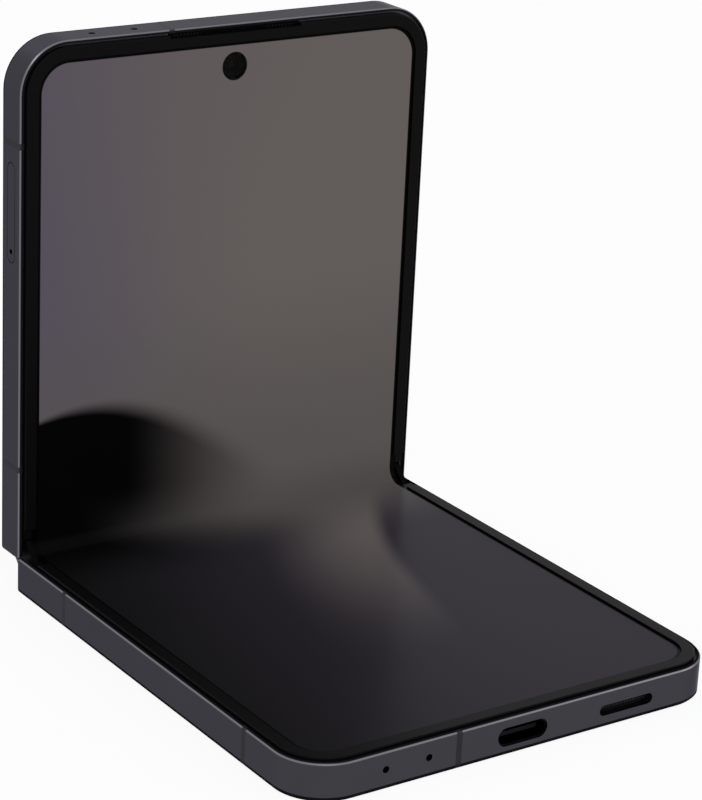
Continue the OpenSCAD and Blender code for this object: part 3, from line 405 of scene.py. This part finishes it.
def polishedGlass(name, settings):
    made = Finish(name)
    x, y, z = made.place.parts()
    blur = settings["blur"]
    panel = ((z - settings["low"]).step(0, blur) * (settings["high"] - z).step(0, blur)
             * (settings["side"] - abs(x)).step(0, blur))
    smear = made.noise(settings["smear"], 4.0)
    marks = smear.step(settings["smearFrom"], settings["smearTo"])
    return made.set(colour=made.mix(settings["colour"], settings["panel"], panel),
                    roughness=marks * settings["smearRoughness"] + settings["roughness"],
                    specular=settings["specular"], coat=settings["coat"],
                    coatRoughness=settings["coatRoughness"],
                    normal=made.bump(smear, settings["bump"], settings["depth"]))


# coated glass that throws little light back; the one in the display is tinted dark as well, as painted shade
# over the camera in its hole
windowGlasses = {
    "lensWindow": {"colour": (0.72, 0.74, 0.8), "other": (0.8, 0.8, 0.84), "ior": 1.22,
                   "smear": 300.0, "roughness": 0.03},
    "smokedWindow": {"colour": (0.16, 0.16, 0.17), "other": (0.24, 0.23, 0.24), "ior": 1.12,
                     "smear": 300.0, "roughness": 0.03}}


def windowGlass(name, settings):
    made = Finish(name)
    smear = made.noise(settings["smear"])
    return made.set(colour=made.mix(settings["colour"], settings["other"], smear), clear=1.0,
                    ior=settings["ior"], roughness=smear * settings["roughness"])


lensCoating = {"colour": (0.004, 0.004, 0.012), "other": (0.012, 0.006, 0.02), "tint": (0.55, 0.5, 1.0),
               "bloom": 700.0, "spread": 0.04, "roughness": 0.02, "specular": 0.9}


def coatedLens(name, settings):
    made = Finish(name)
    bloom = made.noise(settings["bloom"], 1.0)
    return made.set(colour=made.mix(settings["colour"], settings["other"], bloom),
                    specular=settings["specular"], tint=settings["tint"], coat=1.0,
                    roughness=bloom * settings["spread"] + settings["roughness"],
                    coatRoughness=settings["roughness"])


flashCap = {"colour": (0.62, 0.6, 0.52), "middle": (0.75, 0.6, 0.2), "middleShare": 0.8,
            "middleFrom": 0.4 * mm, "middleTo": 0.9 * mm, "ringPitch": 0.28 * mm, "spread": 0.05,
            "roughness": 0.2, "bump": 0.5}


def ringWaves(along, across, centre, pitch):  # distance from a centre, and waves of that pitch on it
    radius = ((along - centre[0]) ** 2.0 + (across - centre[1]) ** 2.0) ** 0.5
    return radius, (radius * (2 * math.pi / pitch)).sine()


def flashPlastic(name, centre, settings):
    made = Finish(name)
    x, y, z = made.place.parts()
    radius, rings = ringWaves(x, z, (centre.x, centre.z), settings["ringPitch"])
    middle = 1 - radius.step(settings["middleFrom"], settings["middleTo"])
    return made.set(colour=made.mix(settings["colour"], settings["middle"], middle * settings["middleShare"]),
                    roughness=rings * settings["spread"] + settings["roughness"], specular=0.5,
                    normal=made.bump(rings, settings["bump"], grainDepth))


boardResist = {"colour": (0.012, 0.06, 0.03), "tracks": (0.03, 0.11, 0.055), "scale": 260.0, "gap": 0.05,
               "shift": 0.37, "spread": -0.1, "roughness": 0.42, "specular": 0.4, "bump": 0.3,
               "depth": 0.03 * mm}


def circuitBoard(name, settings):
    made = Finish(name)
    tracks = made.node("ShaderNodeTexBrick", {"offset": settings["shift"]},
                       {"Vector": made.place, "Scale": settings["scale"], "Mortar Size": settings["gap"],
                        "Color1": (0, 0, 0), "Color2": (0.2, 0.2, 0.2), "Mortar": (1, 1, 1)}, out="Fac")
    return made.set(colour=made.mix(settings["colour"], settings["tracks"], tracks),
                    roughness=tracks * settings["spread"] + settings["roughness"],
                    specular=settings["specular"],
                    normal=made.bump(tracks, settings["bump"], settings["depth"]))


# copper turns on the coil; the darker colour between the turns is painted shade
coilWire = {"groove": (0.25, 0.1, 0.04), "crown": (0.62, 0.3, 0.14), "pitch": 0.6 * mm, "spread": -0.15,
            "roughness": 0.4, "bump": 0.8, "depth": 0.1 * mm}


def woundCopper(name, centre, settings):
    made = Finish(name)
    x, y, z = made.place.parts()
    radius, waves = ringWaves(x, y, (centre.x, centre.y), settings["pitch"])
    turns = waves * 0.5 + 0.5
    return made.set(colour=made.mix(settings["groove"], settings["crown"], turns), metallic=1,
                    roughness=turns * settings["spread"] + settings["roughness"],
                    normal=made.bump(turns, settings["bump"], settings["depth"]))


flexFilm = {"colour": (0.16, 0.07, 0.02), "tracks": (0.3, 0.16, 0.05), "pitch": 0.4 * mm, "from": 0.1,
            "to": 0.5, "spread": -0.1, "roughness": 0.4, "specular": 0.4, "bump": 0.2, "depth": 0.02 * mm}


def filmWithTracks(name, settings):
    made = Finish(name)
    x, y, z = made.place.parts()
    tracks = (x * (2 * math.pi / settings["pitch"])).sine().step(settings["from"], settings["to"])
    return made.set(colour=made.mix(settings["colour"], settings["tracks"], tracks),
                    roughness=tracks * settings["spread"] + settings["roughness"],
                    specular=settings["specular"],
                    normal=made.bump(tracks, settings["bump"], settings["depth"]))


# the picture on the folding display: soft dunes in warm grey, mauve and black, with a lighter band along the
# crease that is a painted highlight of the fold catching light. Places along the display are in mm from the
# fold line and places across it are shares of the half width; a pair gives the places where one shade begins
# and where the next is full
picture = {
    "warm": (0.12, 0.105, 0.099), "mauve": (0.089, 0.076, 0.1), "low": (0.09, 0.081, 0.078),
    # the crease colour is a painted highlight of the fold catching light
    "crease": (0.068, 0.061, 0.06), "dark": (0.0006, 0.0006, 0.0006), "ground": (0.0048, 0.0046, 0.0048),
    "front": (0.0225, 0.0195, 0.027), "slope": (0.094, 0.08, 0.079), "edge": (0.0, 0.0, 0.0),
    "sweep": (2.0, 0.035), "sweepShare": 0.5, "skyAcross": (-1.0, 0.9), "skyAlong": (8, 46),
    "groundTurn": 0.004, "groundAcross": (-1.25, 1.0), "creaseTurn": 0.02, "creaseAcross": (-0.75, 0.35),
    "creaseBelow": (-20, 1), "creaseAbove": (-2, 9), "overFold": (-3, 5),
    "halfWidth": 34.2, "halfLength": 80.0, "corner": 4.8, "border": 0.15,
    "hole": 76.6, "holeRadius": 2.2, "upperFold": 5.825, "lowerFold": 41.725,
    "film": (0.0008, 0.0008, 0.0009), "filmOther": (0.0012, 0.0012, 0.0013), "filmGrain": 140.0,
    "spread": 0.06, "roughness": 0.26, "specular": 0.02}

# a rounded dark dune on the left above the fold, sharp at its far end and soft towards the middle
dune = {"turn": -1.9, "start": 0.25, "swing": 11, "height": 14, "softRise": 7, "soft": 8.5,
        "full": 0.8, "fadeFrom": -0.55, "fadeTo": 0.45}

# a crest below the fold, which winds from the right of the crease to the front, lit on its left side
crest = {"place": 0.89, "lean": 0.0135, "waves": 0.075, "swing": 0.09, "lit": (-0.68, -0.04),
         "shade": (-0.03, 0.09), "reach": (-62, -12)}

bandMap = {"width": 80, "length": 12}  # mm that the bending band's UV map spans


def duneShade(across, s, settings):
    top = (across * settings["turn"] + settings["start"]).sine() * settings["swing"] + settings["height"]
    soft = across * settings["softRise"] + settings["soft"]
    fade = across.step(settings["fadeFrom"], settings["fadeTo"])
    return ((top - s) / soft).step(0.0, settings["full"]) * (1 - fade)


def crestLight(across, s, settings):
    wave = (s * settings["waves"]).sine() * settings["swing"]
    beside = across - settings["place"] - s * settings["lean"] - wave
    return beside.step(*settings["lit"]) * (1 - beside.step(*settings["shade"])) * s.step(*settings["reach"])


def borderShade(x, s, settings):  # black outside the lit area and round the camera hole
    corner = settings["corner"]
    dx = (abs(x) - (settings["halfWidth"] - corner)).maths("MAXIMUM", 0.0)
    ds = (abs(s) - (settings["halfLength"] - corner)).maths("MAXIMUM", 0.0)
    rim = (dx ** 2.0 + ds ** 2.0) ** 0.5 - corner
    hole = (x ** 2.0 + (s - settings["hole"]) ** 2.0) ** 0.5 - settings["holeRadius"]
    return rim.step(-settings["border"], 0.0).maths("MAXIMUM", 1 - hole.step(0.0, settings["border"]))


# x is the place across and s the place along the display in mm; s is positive above the fold line
def paintPicture(made, x, s, settings):
    across = x / settings["halfWidth"]
    acrossTurn, alongTurn = settings["sweep"]
    sweep = (across * acrossTurn + s * alongTurn).sine() * 0.5 + 0.5
    warmth = (across + sweep * settings["sweepShare"]).step(*settings["skyAcross"])
    sky = made.mix(settings["mauve"], settings["warm"], warmth)
    sky = made.mix(settings["low"], sky, s.step(*settings["skyAlong"]))
    upper = made.mix(sky, settings["dark"], duneShade(across, s, dune))
    light = (across - s * settings["groundTurn"]).step(*settings["groundAcross"])
    ground = made.mix(settings["ground"], settings["front"], light)
    lower = made.mix(ground, settings["slope"], crestLight(across, s, crest))
    # near the fold the lighter band on the right is a painted highlight of the fold catching light
    light = (across + s * settings["creaseTurn"]).step(*settings["creaseAcross"])
    nearFold = made.mix(settings["dark"], settings["crease"], light)
    lower = made.mix(lower, nearFold, s.step(*settings["creaseBelow"]))
    upper = made.mix(nearFold, upper, s.step(*settings["creaseAbove"]))
    colour = made.mix(lower, upper, s.step(*settings["overFold"]))
    film = made.noise(settings["filmGrain"], 3.0)
    lowest = settings["roughness"] - settings["spread"] / 2
    return made.set(colour=made.mix(settings["film"], settings["filmOther"], film),
                    glow=made.mix(colour, settings["edge"], borderShade(x, s, settings)), glowStrength=1.0,
                    roughness=film * settings["spread"] + lowest, specular=settings["specular"])


def displayFinish(name, half, settings):
    made = Finish(name)
    x, y, z = made.place.parts()
    s = z / mm - settings["upperFold"] if half == "upper" else y / mm - settings["lowerFold"]
    return paintPicture(made, x / mm, s, settings)


def foldFinish(name, settings):  # the bending band carries x and s in its own UV map
    made = Finish(name)
    u, v, w = made.node("ShaderNodeUVMap", {"uv_map": "display"}).parts()
    return paintPicture(made, (u - 0.5) * bandMap["width"], (v - 0.5) * bandMap["length"], settings)


def middleOf(node):
    low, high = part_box(node)
    return (low + high) / 2


finishes = {name: plainFinish(name, settings) for name, settings in plainFinishes.items()}
for half, place in highlightShadePlaces.items():
    finishes[half + "Metal"] = frameFinish(half + "Metal", *place, frameMetal)
    finishes[half + "Bands"] = bandFinish(half + "Bands", *place, antennaPlastic)
    finishes[half + "Picture"] = displayFinish(half + "Picture", half, picture)
for name, settings in windowGlasses.items():
    finishes[name] = windowGlass(name, settings)
finishes["foldPicture"] = foldFinish("foldPicture", picture)
finishes["etchedGlass"] = etchedGlass("etchedGlass", backGlass)
finishes["polishedGlass"] = polishedGlass("polishedGlass", coverGlass)
finishes["coatedLens"] = coatedLens("coatedLens", lensCoating)
finishes["flashPlastic"] = flashPlastic("flashPlastic", middleOf("flash_lens"), flashCap)
finishes["circuitBoard"] = circuitBoard("circuitBoard", boardResist)
finishes["woundCopper"] = woundCopper("woundCopper", middleOf("charging_coil"), coilWire)
finishes["film"] = filmWithTracks("film", flexFilm)

# which finish each CAD node wears
nodeFinishes = {
    "lower_frame": "lowerMetal", "lower_antenna_bands": "lowerBands", "lower_back_glass": "etchedGlass",
    "lower_bezel": "bezelBlack", "lower_display": "lowerPicture", "lower_wing_plate": "steelPlate",
    "lower_rotators": "hingeSteel", "lower_battery": "cellPouch", "charging_coil": "woundCopper",
    "sub_board": "circuitBoard", "usb_port": "socketMetal", "loudspeaker": "moduleBlack",
    "speaker_mesh": "meshDark", "vibration_motor": "canMetal", "lower_microphones": "contactGold",
    "lower_screws": "screwSteel", "spine_cover": "spineMetal", "hinge_housings": "zincCast",
    "hinge_end_caps": "capBlack", "friction_washers": "springSteel", "hinge_screws": "screwSteel",
    "display_fold": "foldPicture", "hinge_flex": "film", "lower_sync_arms": "hingeSteel",
    "upper_sync_arms": "hingeSteel", "lower_idler_gears": "hingeSteel", "upper_idler_gears": "hingeSteel",
    "upper_frame": "upperMetal", "upper_antenna_bands": "upperBands", "cover_glass": "polishedGlass",
    "cover_display": "moduleBlack", "upper_bezel": "bezelBlack", "upper_display": "upperPicture",
    "upper_wing_plate": "steelPlate", "upper_rotators": "hingeSteel", "upper_battery": "cellPouch",
    "main_board": "circuitBoard", "shield_can": "canMetal", "main_camera": "moduleBlack",
    "wide_camera": "moduleBlack", "camera_rings": "ringMetal", "camera_windows": "lensWindow",
    "camera_lenses": "coatedLens", "flash_lens": "flashPlastic", "selfie_camera": "moduleBlack",
    "selfie_window": "smokedWindow", "earpiece": "moduleBlack", "earpiece_grille": "capBlack",
    "sim_socket": "canMetal", "key_flex": "film", "upper_microphones": "contactGold",
    "upper_screws": "screwSteel", "volume_key": "keyMetal", "power_key": "keyMetal", "sim_tray": "keyMetal"}
for name, piece in nodes.items():
    piece.data.materials.clear()
    piece.data.materials.append(finishes[nodeFinishes[name]])
print("finishes set on", len(nodes), "nodes")


# the part of the display that bends: one band to each side of the crease, in mm
displayFold = {
    "halfWidth": 35.25, "attach": (3.270, 1.676), "attachUnder": (3.694, 1.252), "bendCentre": 1.970,
    "bendRadius": 2.520, "thickness": 0.6, "flatLength": 5.0, "columns": 28, "straights": 6, "arcs": 20}

spineSection = {"pivot": (-1.75, -1.4), "turn": math.radians(45)}  # lower_fold's place in the flat section


def spinePoint(y, z):  # a place in mm in the flat spine's section, as a point at rest
    pivot = Vector(joints["lower_fold"]["pos_m"])
    dy = y - spineSection["pivot"][0]
    dz = z - spineSection["pivot"][1]
    cosine = math.cos(spineSection["turn"])
    sine = math.sin(spineSection["turn"])
    return pivot + Vector((0, dy * cosine - dz * sine, dy * sine + dz * cosine)) * mm


# points (y, z, distance from the crease) from the attached edge inward
def bandLine(hand, under, settings):
    radius = settings["bendRadius"] + (settings["thickness"] if under else 0)
    centre = settings["bendCentre"]
    y0, z0 = settings["attachUnder"] if under else settings["attach"]
    bend = spineSection["turn"]
    y1 = radius * math.sin(bend)
    z1 = centre - radius * math.cos(bend)
    straight = math.hypot(y0 - y1, z0 - z1)
    line = []
    for i in range(settings["straights"]):
        t = i / settings["straights"]
        line.append((hand * (y0 + (y1 - y0) * t), z0 + (z1 - z0) * t, settings["flatLength"] - straight * t))
    rest = settings["flatLength"] - straight
    for i in range(settings["arcs"] + 1):
        left = 1 - i / settings["arcs"]
        angle = bend * left
        line.append((hand * radius * math.sin(angle), centre - radius * math.cos(angle), rest * left))
    return line


# a closed ribbon between two lines of the spine's section, from one side of the phone to the other
def ribbonMesh(name, topLine, underLine, halfWidth, columns, outward):
    rows = len(topLine)
    across = columns + 1
    points, faces = [], []
    for line in (topLine, underLine):
        for y, z, *distance in line:
            for i in range(across):
                points.append(spinePoint(y, z) + Vector((halfWidth * (2 * i / columns - 1) * mm, 0, 0)))
    under = rows * across
    for r in range(rows - 1):
        for i in range(columns):
            a = r * across + i
            faces.append((a, a + 1, a + across + 1, a + across))
            faces.append((under + a, under + a + across, under + a + across + 1, under + a + 1))
        for i, flip in ((0, False), (columns, True)):
            a = r * across + i
            side = (a, a + across, under + a + across, under + a)
            faces.append(side[::-1] if flip else side)
    for r, flip in ((0, False), (rows - 1, True)):
        for i in range(columns):
            a = r * across + i
            end = (a, under + a, under + a + 1, a + 1)
            faces.append(end[::-1] if flip else end)
    if outward < 0:
        faces = [face[::-1] for face in faces]
    return meshPiece(name, points, faces, smoothAngle=30)


def blendAcross(band, inner):
    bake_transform(band)


def addFoldBand(name, hand, settings):
    top = bandLine(hand, False, settings)
    under = bandLine(hand, True, settings)
    band = ribbonMesh(name, top, under, settings["halfWidth"], settings["columns"], hand)
    distances = [row[2] for row in top + under]
    layer = band.data.uv_layers.new(name="display")
    for loop in band.data.loops:
        row, column = divmod(loop.vertex_index, settings["columns"] + 1)
        x = settings["halfWidth"] * (2 * column / settings["columns"] - 1)
        s = hand * distances[row]
        layer.data[loop.index].uv = (x / bandMap["width"] + 0.5, s / bandMap["length"] + 0.5)
    band.data.materials.append(finishes["foldPicture"])
    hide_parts("display_fold")
    tangent = spinePoint(*top[settings["straights"]][:2])
    blendAcross(band, spinePoint(*top[-1][:2]))


addFoldBand("displayFoldLower", -1, displayFold)
addFoldBand("displayFoldUpper", 1, displayFold)


# the ribbon cable through the hinge: its route from the spine's middle out into a half, in mm
hingeFlex = {
    "halfWidth": 3.0, "thickness": 0.15, "columns": 6, "steps": 8,
    "inner": (3.0, -2.5), "outer": (5.286, 1.075),
    "route": [(0, -3.4), (2.2, -3.1), (4.0, -1.9), (5.286, 1.075), (7.725, 3.585), (9.917, 5.777)]}


def smoothRoute(points, steps):  # a smooth curve through the points
    padded = [points[0]] + points + [points[-1]]
    line = []
    for i in range(1, len(padded) - 2):
        a, b, c, d = (Vector(p) for p in padded[i - 1:i + 3])
        for k in range(steps):
            t = k / steps
            line.append(0.5 * (2 * b + (c - a) * t + (2 * a - 5 * b + 4 * c - d) * t ** 2
                               + (3 * b - a - 3 * c + d) * t ** 3))
    return line + [Vector(points[-1])]


def addFlexBand(name, hand, settings):
    line = smoothRoute(settings["route"], settings["steps"])
    top, under = [], []
    for i, point in enumerate(line):
        along = (line[min(i + 1, len(line) - 1)] - line[max(i - 1, 0)]).normalized()
        offset = Vector((-along.y, along.x)) * settings["thickness"] / 2
        top.append((hand * (point + offset).x, (point + offset).y))
        under.append((hand * (point - offset).x, (point - offset).y))
    band = ribbonMesh(name, top, under, settings["halfWidth"], settings["columns"], -hand)
    band.data.materials.append(finishes["film"])
    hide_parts("hinge_flex")
    outer, inner = (spinePoint(hand * y, z) for y, z in (settings["outer"], settings["inner"]))
    blendAcross(band, inner)


addFlexBand("hingeFlexLower", -1, hingeFlex)
addFlexBand("hingeFlexUpper", 1, hingeFlex)


# what repeats is made by Geometry Nodes
def geometryTree(name, inputs):
    tree = bpy.data.node_groups.new(name, "GeometryNodeTree")
    for label, kind in inputs:
        tree.interface.new_socket(name=label, in_out="INPUT", socket_type="NodeSocket" + kind)
    tree.interface.new_socket(name="Geometry", in_out="OUTPUT", socket_type="NodeSocketGeometry")
    graph = Graph(tree)
    entry = tree.nodes.new("NodeGroupInput")
    return graph, {label: Wire(graph, entry.outputs[label]) for label, kind in inputs}


def closeTree(graph, geometry, material):
    real = graph.node("GeometryNodeRealizeInstances", {}, {0: geometry})
    coloured = graph.node("GeometryNodeSetMaterial", {}, {"Geometry": real, "Material": material})
    end = graph.tree.nodes.new("NodeGroupOutput")
    graph.tree.links.new(coloured.socket, end.inputs[0])
    return graph.tree


def growPiece(name, tree, values, turn):  # runs a tree, keeps the mesh and lays it in place
    host = bpy.data.objects.new(name, bpy.data.meshes.new(name))
    bpy.context.scene.collection.objects.link(host)
    modifier = host.modifiers.new("grow", "NODES")
    modifier.node_group = tree
    for item in tree.interface.items_tree:
        if item.item_type == "SOCKET" and item.in_out == "INPUT":
            modifier[item.identifier] = values[item.name]
    grown = host.evaluated_get(bpy.context.evaluated_depsgraph_get())
    mesh = bpy.data.meshes.new_from_object(grown)
    host.modifiers.clear()
    mesh.transform(turn)
    mesh.name = name
    host.data = mesh
    return host


def turnTo(x, y, z, place):  # matrix whose columns are the piece's own axes
    turn = Matrix((Vector(x), Vector(y), Vector(z))).transposed().to_4x4()
    turn.translation = Vector(place)
    return turn


def circleLine(graph, corners, radius):
    return graph.node("GeometryNodeCurvePrimitiveCircle", {"mode": "RADIUS"},
                      {"Resolution": corners, "Radius": radius})


# a row of flat bars, centred, such as the contacts on a tongue
def barRowTree(material):
    graph, given = geometryTree("barRow", [("Count", "Int"), ("Pitch", "Float"), ("Length", "Float"),
                                           ("Width", "Float"), ("Height", "Float")])
    span = (given["Count"] - 1) * given["Pitch"]
    start = graph.node("ShaderNodeCombineXYZ", {}, {"X": span * -0.5})
    step = graph.node("ShaderNodeCombineXYZ", {}, {"X": given["Pitch"]})
    row = graph.node("GeometryNodeMeshLine", {},
                     {"Count": given["Count"], "Start Location": start, "Offset": step})
    size = graph.node("ShaderNodeCombineXYZ", {},
                      {"X": given["Width"], "Y": given["Length"], "Z": given["Height"]})
    bar = graph.node("GeometryNodeMeshCube", {}, {"Size": size})
    placed = graph.node("GeometryNodeInstanceOnPoints", {}, {"Points": row, "Instance": bar})
    return closeTree(graph, placed, material)


netWave = 1.2  # how far neighbouring crossings lie apart, in wire widths


# wires both ways over a slot with round ends; every crossing is pushed up or down
def netTree(material):
    graph, given = geometryTree("net", [("Length", "Float"), ("Height", "Float"), ("Columns", "Int"),
                                        ("Rows", "Int"), ("Wire", "Float")])
    grid = graph.node("GeometryNodeMeshGrid", {},
                      {"Size X": given["Length"], "Size Y": given["Height"],
                       "Vertices X": given["Columns"], "Vertices Y": given["Rows"]})
    index = graph.node("GeometryNodeInputIndex")
    column = (index / given["Rows"]).maths("FLOOR")
    odd = (column + index).maths("MODULO", 2.0)
    lift = graph.node("ShaderNodeCombineXYZ", {}, {"Z": (odd - 0.5) * given["Wire"] * netWave})
    waved = graph.node("GeometryNodeSetPosition", {}, {"Geometry": grid, "Offset": lift})
    x, y, z = graph.node("GeometryNodeInputPosition").parts()
    radius = given["Height"] * 0.5
    past = (abs(x) - (given["Length"] * 0.5 - radius)).maths("MAXIMUM", 0.0)
    outside = ((past ** 2.0 + y ** 2.0) ** 0.5).maths("GREATER_THAN", radius * 1.001)  # a hair of room
    kept = graph.node("GeometryNodeDeleteGeometry", {"domain": "POINT"},
                      {"Geometry": waved, "Selection": outside})
    curve = graph.node("GeometryNodeMeshToCurve", {}, {"Mesh": kept})
    profile = circleLine(graph, 5, given["Wire"] * 0.5)
    wires = graph.node("GeometryNodeCurveToMesh", {},
                       {"Curve": curve, "Profile Curve": profile, "Fill Caps": True})
    return closeTree(graph, wires, material)


# rings that widen as they rise, as baffles in a lens well
def ringStackTree(material):
    graph, given = geometryTree("ringStack", [("Count", "Int"), ("Inner", "Float"), ("Outer", "Float"),
                                              ("Rise", "Float"), ("Wire", "Float")])
    row = graph.node("GeometryNodeMeshLine", {"mode": "OFFSET"}, {"Count": given["Count"]})
    share = graph.node("GeometryNodeInputIndex") / (given["Count"] - 1)
    lift = graph.node("ShaderNodeCombineXYZ", {}, {"Z": share * given["Rise"]})
    placed = graph.node("GeometryNodeSetPosition", {}, {"Geometry": row, "Position": lift})
    loop = circleLine(graph, 48, 1.0)
    size = given["Inner"] + (given["Outer"] - given["Inner"]) * share
    scale = graph.node("ShaderNodeCombineXYZ", {}, {"X": size, "Y": size, "Z": 1.0})
    loops = graph.node("GeometryNodeInstanceOnPoints", {},
                       {"Points": placed, "Instance": loop, "Scale": scale})
    real = graph.node("GeometryNodeRealizeInstances", {}, {0: loops})
    profile = circleLine(graph, 6, given["Wire"] * 0.5)
    rings = graph.node("GeometryNodeCurveToMesh", {}, {"Curve": real, "Profile Curve": profile})
    return closeTree(graph, rings, material)


bars = barRowTree(finishes["contactGold"])
net = netTree(finishes["meshDark"])
rings = ringStackTree(finishes["moduleBlack"])

upright = ((1, 0, 0), (0, 1, 0), (0, 0, 1))
facingFront = ((1, 0, 0), (0, 0, 1), (0, -1, 0))
facingBack = ((1, 0, 0), (0, 0, -1), (0, 1, 0))


def addGrown(name, tree, values, axes, place, body):
    piece = growPiece(name, tree, values, turnTo(*axes, place))
    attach(piece, body)


usbContacts = {"Count": 12, "Pitch": 0.5 * mm, "Length": 3.2 * mm, "Width": 0.25 * mm, "Height": 0.04 * mm,
               "depth": 3.1 * mm, "fromTongue": 0.33 * mm}
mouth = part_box("usb_port")[0].y
for name, side in (("usbContactsOver", 1), ("usbContactsUnder", -1)):
    height = middleOf("usb_port").z + side * usbContacts["fromTongue"]
    addGrown(name, bars, usbContacts, upright, (0, mouth + usbContacts["depth"], height),
             "lower_half")

meshLow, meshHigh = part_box("speaker_mesh")
speakerNet = {"Length": meshHigh.x - meshLow.x, "Height": meshHigh.z - meshLow.z, "Columns": 43, "Rows": 8,
              "Wire": 0.07 * mm, "behind": 0.06 * mm}
middle = middleOf("speaker_mesh")
addGrown("speakerWeave", net, speakerNet, facingFront,
         (middle.x, meshHigh.y + speakerNet["behind"], middle.z), "lower_half")

micNets = {"Length": 1.08 * mm, "Height": 1.08 * mm, "Columns": 8, "Rows": 8, "Wire": 0.05 * mm,
           "across": (-24.0 * mm, -16.6 * mm), "depth": 0.9 * mm, "lowerHeight": 3.25 * mm,
           "upperPlace": 44.3 * mm}
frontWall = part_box("lower_frame")[0].y
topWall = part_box("upper_frame")[1].z
for index, x in enumerate(micNets["across"], 1):
    addGrown("lowerMicNet" + str(index), net, micNets, facingFront,
             (x, frontWall + micNets["depth"], micNets["lowerHeight"]), "lower_half")
    addGrown("upperMicNet" + str(index), net, micNets, upright,
             (x, micNets["upperPlace"], topWall - micNets["depth"]), "upper_half")

lensBaffles = {"Count": 5, "Inner": 1.85 * mm, "Outer": 2.6 * mm, "Rise": 0.95 * mm, "Wire": 0.12 * mm,
               "mainBaffles": 12.5 * mm, "wideBaffles": 27.0 * mm, "depth": 1.2 * mm, "height": 4.4 * mm}
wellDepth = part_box("main_camera")[1].y - lensBaffles["depth"]
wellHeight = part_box("camera_windows")[0].z + lensBaffles["height"]
for name in ("mainBaffles", "wideBaffles"):
    addGrown(name, rings, lensBaffles, facingBack, (lensBaffles[name], wellDepth, wellHeight),
             "upper_half")

selfieBaffles = {"Count": 3, "Inner": 0.72 * mm, "Outer": 1.05 * mm, "Rise": 0.45 * mm, "Wire": 0.07 * mm,
                 "depth": 0.85 * mm}
window = middleOf("selfie_window")
addGrown("selfieBaffles", rings, selfieBaffles, facingFront,
         (window.x, window.y + selfieBaffles["depth"], window.z), "upper_half")
print("contacts, nets and lens rings grown")

bpy.context.scene.view_settings.view_transform = "Standard"
